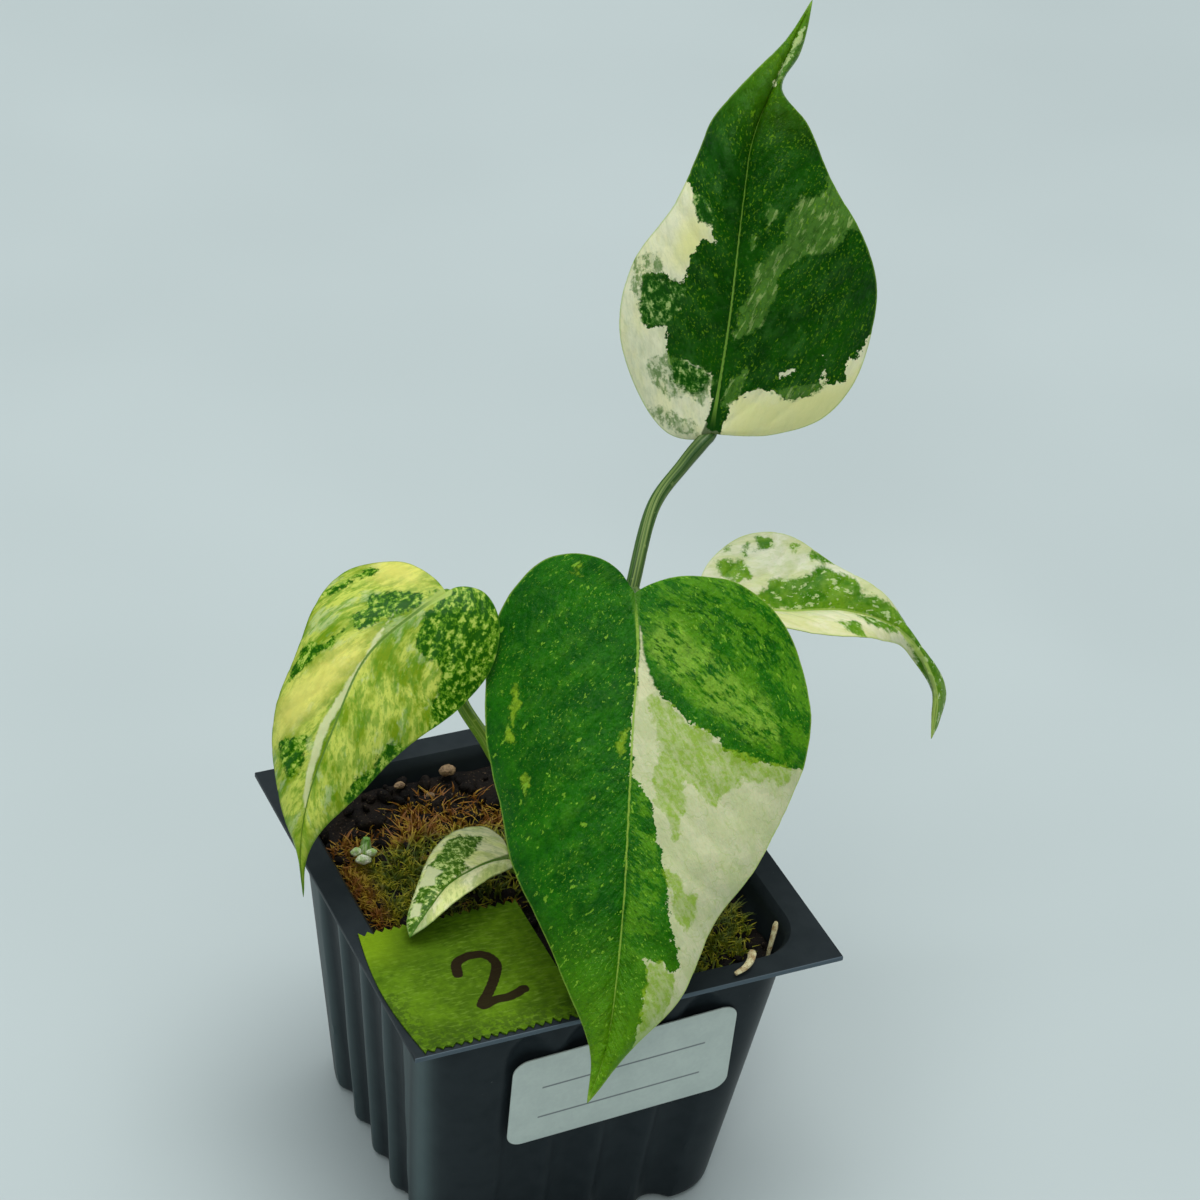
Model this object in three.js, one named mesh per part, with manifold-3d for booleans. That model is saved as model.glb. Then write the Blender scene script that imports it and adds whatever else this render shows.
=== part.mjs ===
// A young variegated monstera in a small square nursery pot, in millimetres, +Z up.
// The origin is the middle of the pot's base, on the surface that it stands on.
// The labelled face of the pot looks along -Y.
import * as THREE from "three";
import { mergeVertices } from "three/addons/utils/BufferGeometryUtils.js";
import Module from "manifold-3d";

// Driving dimensions of the thermoformed pot
const POT_WIDTH = 64; // across the flange, a two-and-a-half-inch pot
const POT_HEIGHT = 50;
const OPENING_HALF = 28.4; // half the opening, at the flange
const DRAFT = 0.1; // how far a wall leans in for each millimetre down
const CORNER_TOP = 7; // body corner radius at the flange
const CORNER_BASE = 8.6; // and at the base
const WALL = 0.8;
const FLANGE = 0.9;
const FLOOR = 1.0;
const FOOT_ROUND = 1.0;
const FLUTES = [-0.475, -0.158, 0.158, 0.475]; // flute centres, as shares of the half width
const FLUTE_HALF = 0.135; // half a flute's width, as a share of the half width
const FLUTE_DEPTH_TOP = 0.9;
const FLUTE_DEPTH_BASE = 1.6;
const FLUTE_TOP = 45.5; // the flutes end in arches here
const ARCH_HEIGHT = 4;
const BODY_LEVELS = [14, 28, 40, 43]; // heights at which the walls are modelled
const DRAIN_RADIUS = 3;
const DRAIN_OFFSET = 12;

// Growing mix
const GAP = 0.3; // clearance between pieces that touch
const MIX_LEVEL = 44;
const MIX_RINGS = [0.97, 0.87, 0.74, 0.6, 0.46, 0.32, 0.2, 0.1]; // shares of the way out from the middle
const HEAP = { x: -9, y: 6, height: 1.6, spread: 160 };
const BANK = { start: 14, width: 12, height: 3 }; // the rise against the back wall
const PERLITE = [
  { x: -4.4, y: 25.4, radius: 1.1 },
  { x: -12, y: 25, radius: 0.7 },
  { x: -8, y: 22.8, radius: 0.6 },
];
const SHOOT_AT = [-21.6, 14.6];
const SHOOT_RADIUS = 1.2;
const SHOOT_LENGTH = 4.6;
const SHOOT_SUNK = 1.5;
const SHOOT_LEAN = 0.8;
const HUSK_PATH = [[15.6, -31, 0], [17.4, -30.2, 0.5], [19.1, -28.9, 1.1]];
const HUSK_RADIUS = 0.45;
const TRIM_STEPS = 6; // steps along the shoot and the husk

// Short stem, with a socket for each leaf stalk
const STEM_AT = [1.5, -1.5];
const STEM_RADIUS = 3.8;
const STEM_FOOT = 33;
const STEM_TOP = 47.5;
const STEM_DOME = 2.5;
const FOOT_RADIUS = 1.25; // leaf stalk at the stem
const FOOT_CIRCLE = 3.3; // circle of the four outer stalks
const FOOT_HEIGHT = 45;

// Leaves
const BLADE = 0.7; // blade thickness
const RIB = 0.7; // how far the midrib stands out under the blade
const STATIONS = 18; // steps from the leaf stalk to the tip
const ACROSS = [0, 0.07, 0.36, 0.7, 1]; // steps from the midrib to the margin
const FOOT_POWER = 1.35; // the side veins crowd towards the leaf stalk
const STALK_SIDES = 8; // sides of a stalk, and its steps
const STALK_STEPS = 14;

// Tape and sticker. The tape lies flat, TAPE_CLEAR above the flange.
const TAPE_CLEAR = 0.05;
const TAPE_THICK = 0.3;
const TAPE_LEFT = -30.4;
const TAPE_RIGHT = -7;
const TAPE_FRONT = -31.6;
const TAPE_BACK = -6.2;
const TOOTH_PITCH = 2;
const TOOTH_DEPTH = 0.9;
const STICKER_WIDTH = 34;
const STICKER_HEIGHT = 17.6;
const STICKER_ROUND = 2.4;
const STICKER_THICK = 0.3;
const STICKER_X = 2;
const STICKER_Z = 32.2;
const STICKER_TURN = THREE.MathUtils.degToRad(2.6);

const wasm = await Module();
wasm.setup();

function material(color, roughness, metalness = 0) {
  return new THREE.MeshStandardMaterial({ color, roughness, metalness });
}

function geometryFrom(points, faces) {
  const geometry = new THREE.BufferGeometry();
  geometry.setAttribute("position", new THREE.Float32BufferAttribute(points.flat(), 3));
  geometry.setIndex(faces.flat());
  geometry.computeVertexNormals();
  return geometry;
}

function toSolid(geometry) {
  const bare = geometry.clone();
  bare.deleteAttribute("normal");
  bare.deleteAttribute("uv");
  const merged = mergeVertices(bare, 1e-4);
  return new wasm.Manifold(
    new wasm.Mesh({
      numProp: 3,
      vertProperties: new Float32Array(merged.attributes.position.array),
      triVerts: new Uint32Array(merged.index.array),
    }),
  );
}

function fromSolid(solid) {
  const mesh = solid.getMesh();
  const geometry = new THREE.BufferGeometry();
  geometry.setAttribute("position", new THREE.BufferAttribute(mesh.vertProperties, 3));
  geometry.setIndex(new THREE.BufferAttribute(mesh.triVerts, 1));
  geometry.computeVertexNormals();
  return geometry;
}

function cylinder(radius, height, x, y, z, sides = 24) {
  const geometry = new THREE.CylinderGeometry(radius, radius, height, sides);
  geometry.rotateX(Math.PI / 2);
  geometry.translate(x, y, z + height / 2);
  return geometry;
}

function curve(points) {
  return new THREE.CatmullRomCurve3(points.map((p) => new THREE.Vector3(...p)));
}

// The pot's body: half its width, its corner radius and a flute's depth at a height
function halfWidth(z) {
  return OPENING_HALF - DRAFT * (POT_HEIGHT - z);
}

function cornerRadius(z) {
  return THREE.MathUtils.lerp(CORNER_BASE, CORNER_TOP, z / POT_HEIGHT);
}

function fluteDepth(share, z) {
  const across = Math.min(...FLUTES.map((centre) => Math.abs(share - centre))) / FLUTE_HALF;
  const bowl = Math.max(0, 1 - across * across);
  const depth = THREE.MathUtils.lerp(FLUTE_DEPTH_BASE, FLUTE_DEPTH_TOP, z / POT_HEIGHT);
  const arch = THREE.MathUtils.clamp((FLUTE_TOP - z) / ARCH_HEIGHT + bowl - 1, 0, 1);
  return depth * bowl * Math.min(1, 2 * arch);
}

// One side's stations: four flutes of five points each, then the corner's arc
const SIDE = [];
for (const centre of FLUTES) {
  for (const step of [-1, -0.6, 0, 0.6, 1]) {
    SIDE.push({ share: centre + step * FLUTE_HALF });
  }
}
for (let step = 0; step <= 6; step += 1) {
  SIDE.push({ turn: (Math.PI / 2) * (step / 6) });
}
const AROUND = SIDE.length * 4;

// A point of the body's outline at a height, set in from the outer face by inset
function bodyPoint(index, z, inset) {
  const side = Math.floor(index / SIDE.length);
  const station = SIDE[index % SIDE.length];
  const half = halfWidth(z) - inset;
  const radius = cornerRadius(z) - inset;
  let along;
  let out;
  if (station.share === undefined) {
    along = half - radius + radius * Math.sin(station.turn);
    out = half - radius + radius * Math.cos(station.turn);
  } else {
    along = station.share * halfWidth(z);
    out = half - fluteDepth(station.share, z);
  }
  const turn = (side * Math.PI) / 2;
  // side 0 faces -Y and runs towards +X
  const x = along * Math.cos(turn) + out * Math.sin(turn);
  const y = along * Math.sin(turn) - out * Math.cos(turn);
  return [x, y, z];
}

// A point of the square flange's edge, outwards from the same station
function flangePoint(index, z) {
  const [x, y] = bodyPoint(index, POT_HEIGHT, 0);
  const reach = POT_WIDTH / 2;
  const core = OPENING_HALF - CORNER_TOP;
  const station = SIDE[index % SIDE.length];
  if (station.share !== undefined) {
    const scale = reach / Math.max(Math.abs(x), Math.abs(y));
    return Math.abs(x) > Math.abs(y) ? [x * scale, y, z] : [x, y * scale, z];
  }
  const dx = x - Math.sign(x) * core;
  const dy = y - Math.sign(y) * core;
  const grow = (reach - core) / Math.max(Math.abs(dx), Math.abs(dy));
  return [Math.sign(x) * core + dx * grow, Math.sign(y) * core + dy * grow, z];
}

// Joins rings of equal length, and closes both ends on a middle point
function stackRings(rings, firstMiddle, lastMiddle) {
  const count = rings[0].length;
  const points = [...rings.flat(), firstMiddle, lastMiddle];
  const first = points.length - 2;
  const last = points.length - 1;
  const faces = [];
  for (let k = 0; k < count; k += 1) {
    const next = (k + 1) % count;
    faces.push([first, next, k]);
    for (let ring = 0; ring < rings.length - 1; ring += 1) {
      const low = ring * count;
      const high = low + count;
      faces.push([low + k, low + next, high + next], [low + k, high + next, high + k]);
    }
    const top = (rings.length - 1) * count;
    faces.push([top + k, top + next, last]);
  }
  return geometryFrom(points, faces);
}

function ringOf(pointAt) {
  return Array.from({ length: AROUND }, (_, index) => pointAt(index));
}

function makePot() {
  const outside = [FOOT_ROUND, ...BODY_LEVELS, FLUTE_TOP, POT_HEIGHT - FLANGE];
  const inside = [FLOOR + FOOT_ROUND, ...BODY_LEVELS, FLUTE_TOP, POT_HEIGHT - FLANGE].reverse();
  const rings = [
    ringOf((k) => bodyPoint(k, 0, FOOT_ROUND)),
    ...outside.map((z) => ringOf((k) => bodyPoint(k, z, 0))),
    ringOf((k) => flangePoint(k, POT_HEIGHT - FLANGE)),
    ringOf((k) => flangePoint(k, POT_HEIGHT)),
    ringOf((k) => bodyPoint(k, POT_HEIGHT, 0)),
    ...inside.map((z) => ringOf((k) => bodyPoint(k, z, WALL))),
    ringOf((k) => bodyPoint(k, FLOOR, WALL + FOOT_ROUND)),
  ];
  let pot = toSolid(stackRings(rings, [0, 0, 0], [0, 0, FLOOR]));
  for (const x of [-DRAIN_OFFSET, DRAIN_OFFSET]) {
    for (const y of [-DRAIN_OFFSET, DRAIN_OFFSET]) {
      pot = pot.subtract(toSolid(cylinder(DRAIN_RADIUS, FLOOR + 2, x, y, -1)));
    }
  }
  return fromSolid(pot);
}

// The mix is heaped in the middle left and against the back wall, and lumpy all over
function mixHeight(x, y) {
  const heap = HEAP.height * Math.exp(-((x - HEAP.x) ** 2 + (y - HEAP.y) ** 2) / HEAP.spread);
  const bank = BANK.height * THREE.MathUtils.clamp((y - BANK.start) / BANK.width, 0, 1) ** 2;
  const lumps = Math.sin(x * 0.71 + 1.3) * Math.cos(y * 0.63 - 0.4);
  return MIX_LEVEL + heap + bank + 0.5 * lumps;
}

function makeMix(holes) {
  const clear = WALL + GAP;
  const edge = ringOf((k) => bodyPoint(k, MIX_LEVEL, clear));
  const rings = [
    ringOf((k) => bodyPoint(k, FLOOR + GAP, clear + FOOT_ROUND)),
    ringOf((k) => bodyPoint(k, FLOOR + GAP + FOOT_ROUND, clear)),
    ...BODY_LEVELS.slice(1).map((z) => ringOf((k) => bodyPoint(k, z, clear))),
    ...MIX_RINGS.map((share) =>
      edge.map(([x, y]) => [x * share, y * share, mixHeight(x * share, y * share)]),
    ),
  ];
  let mix = toSolid(stackRings(rings, [0, 0, FLOOR + GAP], [0, 0, mixHeight(0, 0)]));
  for (const hole of holes) {
    mix = mix.subtract(toSolid(hole));
  }
  return fromSolid(mix);
}

// A leaf stalk: a round rod along a curve, thicker at its foot
function makeStalk(points, footRadius, topRadius, extra = 0, steps = STALK_STEPS) {
  const path = curve(points);
  const frames = path.computeFrenetFrames(steps, false);
  const rings = [];
  for (let step = 0; step <= steps; step += 1) {
    const share = step / steps;
    const at = path.getPointAt(share);
    const radius = extra + THREE.MathUtils.lerp(footRadius, topRadius, Math.sqrt(share));
    const ring = [];
    for (let side = 0; side < STALK_SIDES; side += 1) {
      const turn = (side / STALK_SIDES) * Math.PI * 2;
      const p = at
        .clone()
        .addScaledVector(frames.normals[step], radius * Math.cos(turn))
        .addScaledVector(frames.binormals[step], radius * Math.sin(turn));
      ring.push(p.toArray());
    }
    rings.push(ring);
  }
  return stackRings(rings, points[0], points[points.length - 1]);
}

// A blade is spanned by its midrib and its two margins. Rays run from the midrib to a margin.
// At the leaf stalk and at the tip they shrink to a point.
function makeBlade(leaf) {
  const midrib = curve(leaf.midrib);
  const up = new THREE.Vector3(...leaf.up).normalize();
  const points = [];
  const rib = [];
  const index = new Map();
  const place = (side, station, ray) => {
    const atEnd = station === 0 || station === STATIONS;
    const key = atEnd ? `end ${station}` : `${ray === 0 ? "mid" : side} ${station} ${ray}`;
    if (!index.has(key)) {
      const share = station / STATIONS;
      const foot = midrib.getPointAt(share ** FOOT_POWER);
      const margin = curve([leaf.midrib[0], ...leaf.margins[side], leaf.midrib.at(-1)]);
      const edge = margin.getPointAt(share);
      const out = atEnd ? 0 : ACROSS[ray];
      const swell = leaf.swell * 4 * out * (1 - out) * Math.sin(Math.PI * share);
      index.set(key, points.length);
      points.push(foot.lerp(edge, out).addScaledVector(up, swell));
      rib.push(ray === 0 ? RIB * (1 - share) : 0);
    }
    return index.get(key);
  };
  const faces = [];
  for (const side of [0, 1]) {
    for (let station = 0; station < STATIONS; station += 1) {
      for (let ray = 0; ray < ACROSS.length - 1; ray += 1) {
        const a = place(side, station, ray);
        const b = place(side, station, ray + 1);
        const c = place(side, station + 1, ray + 1);
        const d = place(side, station + 1, ray);
        for (const face of [[a, b, c], [a, c, d]]) {
          if (new Set(face).size === 3) {
            faces.push(side === 0 ? face : [face[0], face[2], face[1]]);
          }
        }
      }
    }
  }
  return thicken(points, faces, up, rib);
}

// Gives a sheet of triangles its thickness, with faces alike above and below
function thicken(points, faces, up, rib) {
  const normals = points.map(() => new THREE.Vector3());
  const total = new THREE.Vector3();
  for (const [a, b, c] of faces) {
    const edge = points[b].clone().sub(points[a]);
    const normal = edge.cross(points[c].clone().sub(points[a]));
    [a, b, c].forEach((k) => normals[k].add(normal));
    total.add(normal);
  }
  const flip = total.dot(up) < 0;
  const above = flip ? faces.map(([a, b, c]) => [a, c, b]) : faces;
  const half = BLADE / 2;
  const top = [];
  const bottom = [];
  points.forEach((point, k) => {
    const normal = normals[k].normalize().multiplyScalar(flip ? -1 : 1);
    top.push(point.clone().addScaledVector(normal, half).toArray());
    bottom.push(point.clone().addScaledVector(normal, -half - rib[k]).toArray());
  });
  const count = points.length;
  const edges = new Set(above.flatMap(([a, b, c]) => [`${a} ${b}`, `${b} ${c}`, `${c} ${a}`]));
  const wall = [];
  for (const edge of edges) {
    const [a, b] = edge.split(" ").map(Number);
    if (!edges.has(`${b} ${a}`)) {
      wall.push([b, a, a + count], [b, a + count, b + count]);
    }
  }
  const below = above.map(([a, b, c]) => [a + count, c + count, b + count]);
  return geometryFrom([...top, ...bottom], [...above, ...below, ...wall]);
}

// Each leaf: its midrib from the stalk to the tip, its two margins, and its stalk's path.
// turn is the direction, in degrees, in which its stalk leaves the stem. up is its upper face.
const LEAVES = [
  {
    name: "upper",
    up: [-0.4, -0.72, 0.56],
    swell: 2.2,
    midrib: [[28.5, 17, 107], [31.5, 21, 122], [34.5, 26.5, 138], [36.5, 29.5, 145.5], [40.5, 32, 153],
      [46.5, 35.5, 162.5]],
    margins: [
      [[27, 17.5, 106], [23.5, 20, 106], [20.5, 25, 110], [19.5, 30, 117.5], [21.5, 32.5, 127],
        [27, 31.5, 136], [30, 33, 142.5], [32, 33.9, 146.7], [36, 34, 151], [42.5, 34.5, 157.5]],
      [[30.5, 16, 107], [36.5, 14, 107], [43.5, 13, 109], [49, 14, 115], [52.5, 17.5, 124.5],
        [50.5, 20.5, 133], [46.5, 24.5, 141], [43.8, 28, 147.4], [41, 31, 152], [44, 32.5, 156]],
    ],
    turn: null,
    stalk: [[5, 1, 62], [11, 4.5, 81], [14.5, 9, 89.5], [19.5, 14.5, 98.5], [24, 16, 103], [27.5, 17, 106]],
    topRadius: 0.95,
  },
  {
    name: "central",
    up: [-0.35, -0.68, 0.64],
    swell: 2.2,
    midrib: [[11.5, 2.5, 93], [9.5, -4, 88.5], [6, -11.5, 82.5], [2, -20.5, 74.5], [-2, -29.5, 64],
      [-7.5, -39, 50.5], [-11, -42, 44.5]],
    margins: [
      [[10.5, 6, 94.5], [8.5, 8.5, 95.5], [5.5, 11.5, 95], [2, 13, 93.5], [-3.5, 11.5, 88.5],
        [-8, 7, 83], [-10.5, 0, 77.5], [-12.5, -12.5, 69], [-12, -23.5, 62], [-10, -33.5, 55],
        [-9.5, -38.5, 49.5]],
      [[14, 2.5, 94], [17.5, 2.5, 94.5], [21.5, 1.5, 94.5], [26.5, 0, 93], [31.5, -5, 88],
        [32.5, -12, 82], [28, -20.5, 75], [20.5, -27, 69.5], [10, -33.5, 63], [2.5, -38.5, 55.5],
        [-5.5, -40.5, 49.5]],
    ],
    turn: 290,
    stalk: [[4, -2, 60], [8.5, 1, 78], [10.5, 4, 87.5], [11.5, 3.8, 91.4]],
    topRadius: 1,
  },
  {
    name: "left",
    up: [-0.45, -0.45, 0.77],
    swell: 1.2,
    midrib: [[-12, 13, 91], [-16.5, 12, 89.5], [-24.5, 10, 85], [-31, 5, 77.5], [-35.5, 1.5, 69.5],
      [-37.5, -1.5, 63.5], [-38, -4.5, 57.5]],
    margins: [
      [[-13, 15.5, 92], [-16, 20.5, 92], [-22, 23.5, 90], [-28.5, 20.5, 86.5], [-33.5, 15.5, 81],
        [-38, 10, 73.5], [-38.5, 3.5, 67.5], [-38, -1.5, 62.5]],
      [[-10, 13, 91.5], [-7, 11.5, 91], [-6, 8, 88.5], [-8.5, 4.5, 83], [-13.5, 2.5, 79], [-21, 1, 76],
        [-27.5, -0.5, 71.5], [-34.5, -1.5, 66], [-37, -2.5, 62]],
    ],
    turn: 140,
    stalk: [[-1.6, 5, 56], [-5.7, 9, 66], [-9.4, 11.5, 73], [-11.5, 14, 82], [-11.8, 14.2, 89]],
    topRadius: 0.95,
  },
  {
    name: "right",
    up: [-0.1, -0.1, 1],
    swell: 0.8,
    midrib: [[25.5, 9, 83], [31.5, 8, 82.5], [37, 6.5, 81.5], [47, 5, 80.5], [53.5, 3, 78], [57, 1.5, 75],
      [60, -2, 68], [59, -4.5, 61.5]],
    margins: [
      [[26, 11, 85], [29, 14, 87], [35.5, 16.5, 88.5], [42, 15, 88], [48.5, 10, 84.5], [55, 5.5, 80],
        [59, 1.5, 73.5], [62.5, -1, 67], [61, -3, 63]],
      [[24.5, 5, 85], [28.5, 1, 85], [34, 0, 83.8], [39, -1, 82.8], [44, -1.9, 81.4], [50, -0.8, 78.9],
        [56.2, 1.7, 73.8], [59.9, -0.9, 67.6], [59.4, -3, 64.4]],
    ],
    turn: 30,
    stalk: [[8, 3, 57], [15, 7, 70], [21.5, 9, 79], [24.5, 9.2, 82]],
    topRadius: 0.9,
  },
  {
    name: "small",
    up: [-0.2, -0.5, 0.85],
    swell: 0.5,
    midrib: [[-5.5, -0.5, 52.5], [-9, -2, 54], [-12.5, -3.5, 54.7], [-17, -5.5, 54.7], [-20.5, -8, 53.7],
      [-24.5, -10.5, 51.4]],
    margins: [
      [[-5, 3, 53], [-6.5, 6, 53.5], [-11, 5, 55], [-16.5, 1.5, 55.5], [-21, -4, 54.2], [-24, -8, 52.2]],
      [[-5.8, -3, 53.6], [-8.5, -5.5, 55], [-11.5, -7, 55.7], [-16, -9.4, 56], [-19.5, -10.6, 55],
        [-22.5, -10.9, 53]],
    ],
    turn: 205,
    stalk: [[-3, -1.5, 49.5], [-4.8, -0.9, 51.2]],
    topRadius: 0.8,
  },
];

// The stalk's path, from its socket in the stem to just short of the blade
function stalkPath(leaf) {
  const [x, y] = STEM_AT;
  if (leaf.turn === null) {
    return [[x, y, FOOT_HEIGHT], [x + 0.6, y + 0.3, 50], ...leaf.stalk];
  }
  const turn = THREE.MathUtils.degToRad(leaf.turn);
  const foot = [x + FOOT_CIRCLE * Math.cos(turn), y + FOOT_CIRCLE * Math.sin(turn), FOOT_HEIGHT];
  return [foot, ...leaf.stalk];
}

function makeStem(sockets) {
  const profile = [
    [0, STEM_FOOT],
    [STEM_RADIUS * 0.8, STEM_FOOT],
    [STEM_RADIUS, STEM_FOOT + 1],
    [STEM_RADIUS, STEM_TOP - STEM_DOME],
    [STEM_RADIUS * 0.85, STEM_TOP - STEM_DOME * 0.45],
    [STEM_RADIUS * 0.5, STEM_TOP - STEM_DOME * 0.1],
    [0, STEM_TOP],
  ].map(([radius, height]) => new THREE.Vector2(radius, height));
  const geometry = new THREE.LatheGeometry(profile, 20);
  geometry.rotateX(Math.PI / 2);
  geometry.translate(STEM_AT[0], STEM_AT[1], 0);
  let stem = toSolid(geometry);
  for (const socket of sockets) {
    stem = stem.subtract(toSolid(socket));
  }
  return fromSolid(stem);
}

// The tape: cut with a toothed blade at both ends, flat on the flange over one corner of the pot
function makeTape() {
  const shape = new THREE.Shape();
  const teeth = Math.round((TAPE_RIGHT - TAPE_LEFT) / TOOTH_PITCH);
  const pitch = (TAPE_RIGHT - TAPE_LEFT) / teeth;
  shape.moveTo(TAPE_LEFT, TAPE_FRONT);
  for (let tooth = 0; tooth < teeth; tooth += 1) {
    shape.lineTo(TAPE_LEFT + pitch * (tooth + 0.5), TAPE_FRONT + TOOTH_DEPTH * 0.6);
    shape.lineTo(TAPE_LEFT + pitch * (tooth + 1), TAPE_FRONT);
  }
  for (let tooth = teeth; tooth > 0; tooth -= 1) {
    shape.lineTo(TAPE_LEFT + pitch * tooth, TAPE_BACK);
    shape.lineTo(TAPE_LEFT + pitch * (tooth - 0.5), TAPE_BACK - TOOTH_DEPTH);
  }
  shape.lineTo(TAPE_LEFT, TAPE_BACK);
  return new THREE.ExtrudeGeometry(shape, { depth: TAPE_THICK, bevelEnabled: false });
}

function makeSticker() {
  const w = STICKER_WIDTH / 2;
  const h = STICKER_HEIGHT / 2;
  const r = STICKER_ROUND;
  const shape = new THREE.Shape();
  shape.absarc(w - r, h - r, r, 0, Math.PI / 2);
  shape.absarc(r - w, h - r, r, Math.PI / 2, Math.PI);
  shape.absarc(r - w, r - h, r, Math.PI, Math.PI * 1.5);
  shape.absarc(w - r, r - h, r, Math.PI * 1.5, Math.PI * 2);
  return new THREE.ExtrudeGeometry(shape, { depth: STICKER_THICK, bevelEnabled: false, curveSegments: 6 });
}

// A small rough lump, resting on the mix
function makeLump(radius, seed) {
  const bare = new THREE.IcosahedronGeometry(radius, 1);
  bare.deleteAttribute("normal");
  bare.deleteAttribute("uv");
  const lump = mergeVertices(bare, 1e-4);
  const at = lump.attributes.position;
  for (let k = 0; k < at.count; k += 1) {
    const grow = 1 + 0.16 * Math.sin(seed + k * 2.4);
    at.setXYZ(k, at.getX(k) * grow, at.getY(k) * grow, at.getZ(k) * grow * 0.8);
  }
  lump.computeVertexNormals();
  return lump;
}

const plant = new THREE.Group();

function add(name, geometry, look, position = [0, 0, 0]) {
  const mesh = new THREE.Mesh(geometry, look);
  mesh.name = name;
  mesh.position.set(...position);
  plant.add(mesh);
  return mesh;
}

add("pot", makePot(), material("#1b1f23", 0.45));

const sockets = LEAVES.map((leaf) => makeStalk(stalkPath(leaf), FOOT_RADIUS, leaf.topRadius, GAP));
const stemHole = cylinder(STEM_RADIUS + GAP, POT_HEIGHT, STEM_AT[0], STEM_AT[1], STEM_FOOT - GAP, 20);
const shootFoot = mixHeight(...SHOOT_AT) - SHOOT_SUNK;
const shootPath = [0, 0.5, 1].map((share) => [
  SHOOT_AT[0] + SHOOT_LEAN * share,
  SHOOT_AT[1] + SHOOT_LEAN * share,
  shootFoot + SHOOT_LENGTH * share,
]);
const makeShoot = (extra) => makeStalk(shootPath, SHOOT_RADIUS, SHOOT_RADIUS * 0.3, extra, TRIM_STEPS);
add("growing_mix", makeMix([stemHole, ...sockets, makeShoot(GAP)]), material("#2c2416", 0.95));
add("shoot", makeShoot(0), material("#9db35a", 0.6));

PERLITE.forEach(({ x, y, radius }, k) => {
  const place = [x, y, mixHeight(x, y) + radius * 0.9 + GAP];
  add(`perlite_${k + 1}`, makeLump(radius, k), material("#b9ad98", 0.9), place);
});

const huskPath = HUSK_PATH.map(([x, y, rise]) => [x, y, POT_HEIGHT + GAP + HUSK_RADIUS + rise]);
const husk = makeStalk(huskPath, HUSK_RADIUS, HUSK_RADIUS * 0.5, 0, TRIM_STEPS);
add("husk", husk, material("#d8c9a0", 0.8));

add("stem", makeStem(sockets), material("#5d7a2c", 0.6));

for (const leaf of LEAVES) {
  const stalk = makeStalk(stalkPath(leaf), FOOT_RADIUS, leaf.topRadius);
  add(`stalk_${leaf.name}`, stalk, material("#3f6a24", 0.5));
  add(`leaf_${leaf.name}`, makeBlade(leaf), material("#3f8a26", 0.4));
}

add("tape", makeTape(), material("#93b02c", 0.85), [0, 0, POT_HEIGHT + TAPE_CLEAR]);

const sticker = add("sticker", makeSticker(), material("#e4e8e6", 0.4));
sticker.position.set(STICKER_X, -(halfWidth(STICKER_Z) + GAP), STICKER_Z);
sticker.rotation.set(Math.PI / 2 + Math.atan(DRAFT), 0, STICKER_TURN);

export default plant;
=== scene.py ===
# %% [markdown]
# A potted variegated monstera, modelled and finished in Blender.
# The plant is young: four leaves and a seedling leaf, each on its own stalk, in a square
# thermoformed nursery pot. The CAD model gives every piece its place and size. This file gives
# the pieces their fine shapes and their finishes, one kind of piece at a time.

import math
import random

import bpy
import numpy as np
from mathutils import Matrix, Vector, noise


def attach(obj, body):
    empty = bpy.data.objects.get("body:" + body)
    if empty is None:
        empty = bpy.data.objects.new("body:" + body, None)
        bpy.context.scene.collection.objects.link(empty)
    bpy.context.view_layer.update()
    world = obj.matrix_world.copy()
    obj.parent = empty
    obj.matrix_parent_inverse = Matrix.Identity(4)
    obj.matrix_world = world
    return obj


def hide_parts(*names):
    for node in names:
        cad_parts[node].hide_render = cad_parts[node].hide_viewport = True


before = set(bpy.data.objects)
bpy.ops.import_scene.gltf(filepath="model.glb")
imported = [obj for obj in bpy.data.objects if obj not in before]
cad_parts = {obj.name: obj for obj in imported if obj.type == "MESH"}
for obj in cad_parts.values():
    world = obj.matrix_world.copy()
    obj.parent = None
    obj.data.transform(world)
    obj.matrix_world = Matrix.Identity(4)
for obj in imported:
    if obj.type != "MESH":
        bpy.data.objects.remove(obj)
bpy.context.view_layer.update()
MM = 0.001

# %% [markdown]
# The camera stands at the left front of the pot and looks down on it, a little turned.
# A long lens from half a metre keeps the pot's walls nearly parallel, as a product photograph does.
# Its place is worked out from two angles and a distance, so that each can be changed alone.

# %% The camera
CAMERA_AZIMUTH = math.radians(-27.2)
CAMERA_ELEVATION = math.radians(35.4)
CAMERA_ROLL = math.radians(5.7)
CAMERA_DISTANCE = 500 * MM
CAMERA_SIDEWAYS = 8.2 * MM
CAMERA_UPWARDS = 37.4 * MM
CAMERA_LENS = 105.3
RIM_CENTRE = Vector((0, 0, 50 * MM))

back = Vector((
    math.sin(CAMERA_AZIMUTH) * math.cos(CAMERA_ELEVATION),
    -math.cos(CAMERA_AZIMUTH) * math.cos(CAMERA_ELEVATION),
    math.sin(CAMERA_ELEVATION),
))
level = Vector((math.cos(CAMERA_AZIMUTH), math.sin(CAMERA_AZIMUTH), 0))
upright = back.cross(level)
right = level * math.cos(CAMERA_ROLL) + upright * math.sin(CAMERA_ROLL)
up = upright * math.cos(CAMERA_ROLL) - level * math.sin(CAMERA_ROLL)

bpy.ops.object.camera_add()
camera = bpy.context.object
camera.data.lens = CAMERA_LENS
camera.data.clip_start = 10 * MM
placing = Matrix((right, up, back)).transposed().to_4x4()
placing.translation = RIM_CENTRE + back * CAMERA_DISTANCE + right * CAMERA_SIDEWAYS + up * CAMERA_UPWARDS
camera.matrix_world = placing
bpy.context.scene.camera = camera
print("camera at, in mm:", [round(x / MM) for x in camera.matrix_world.translation])

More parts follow.
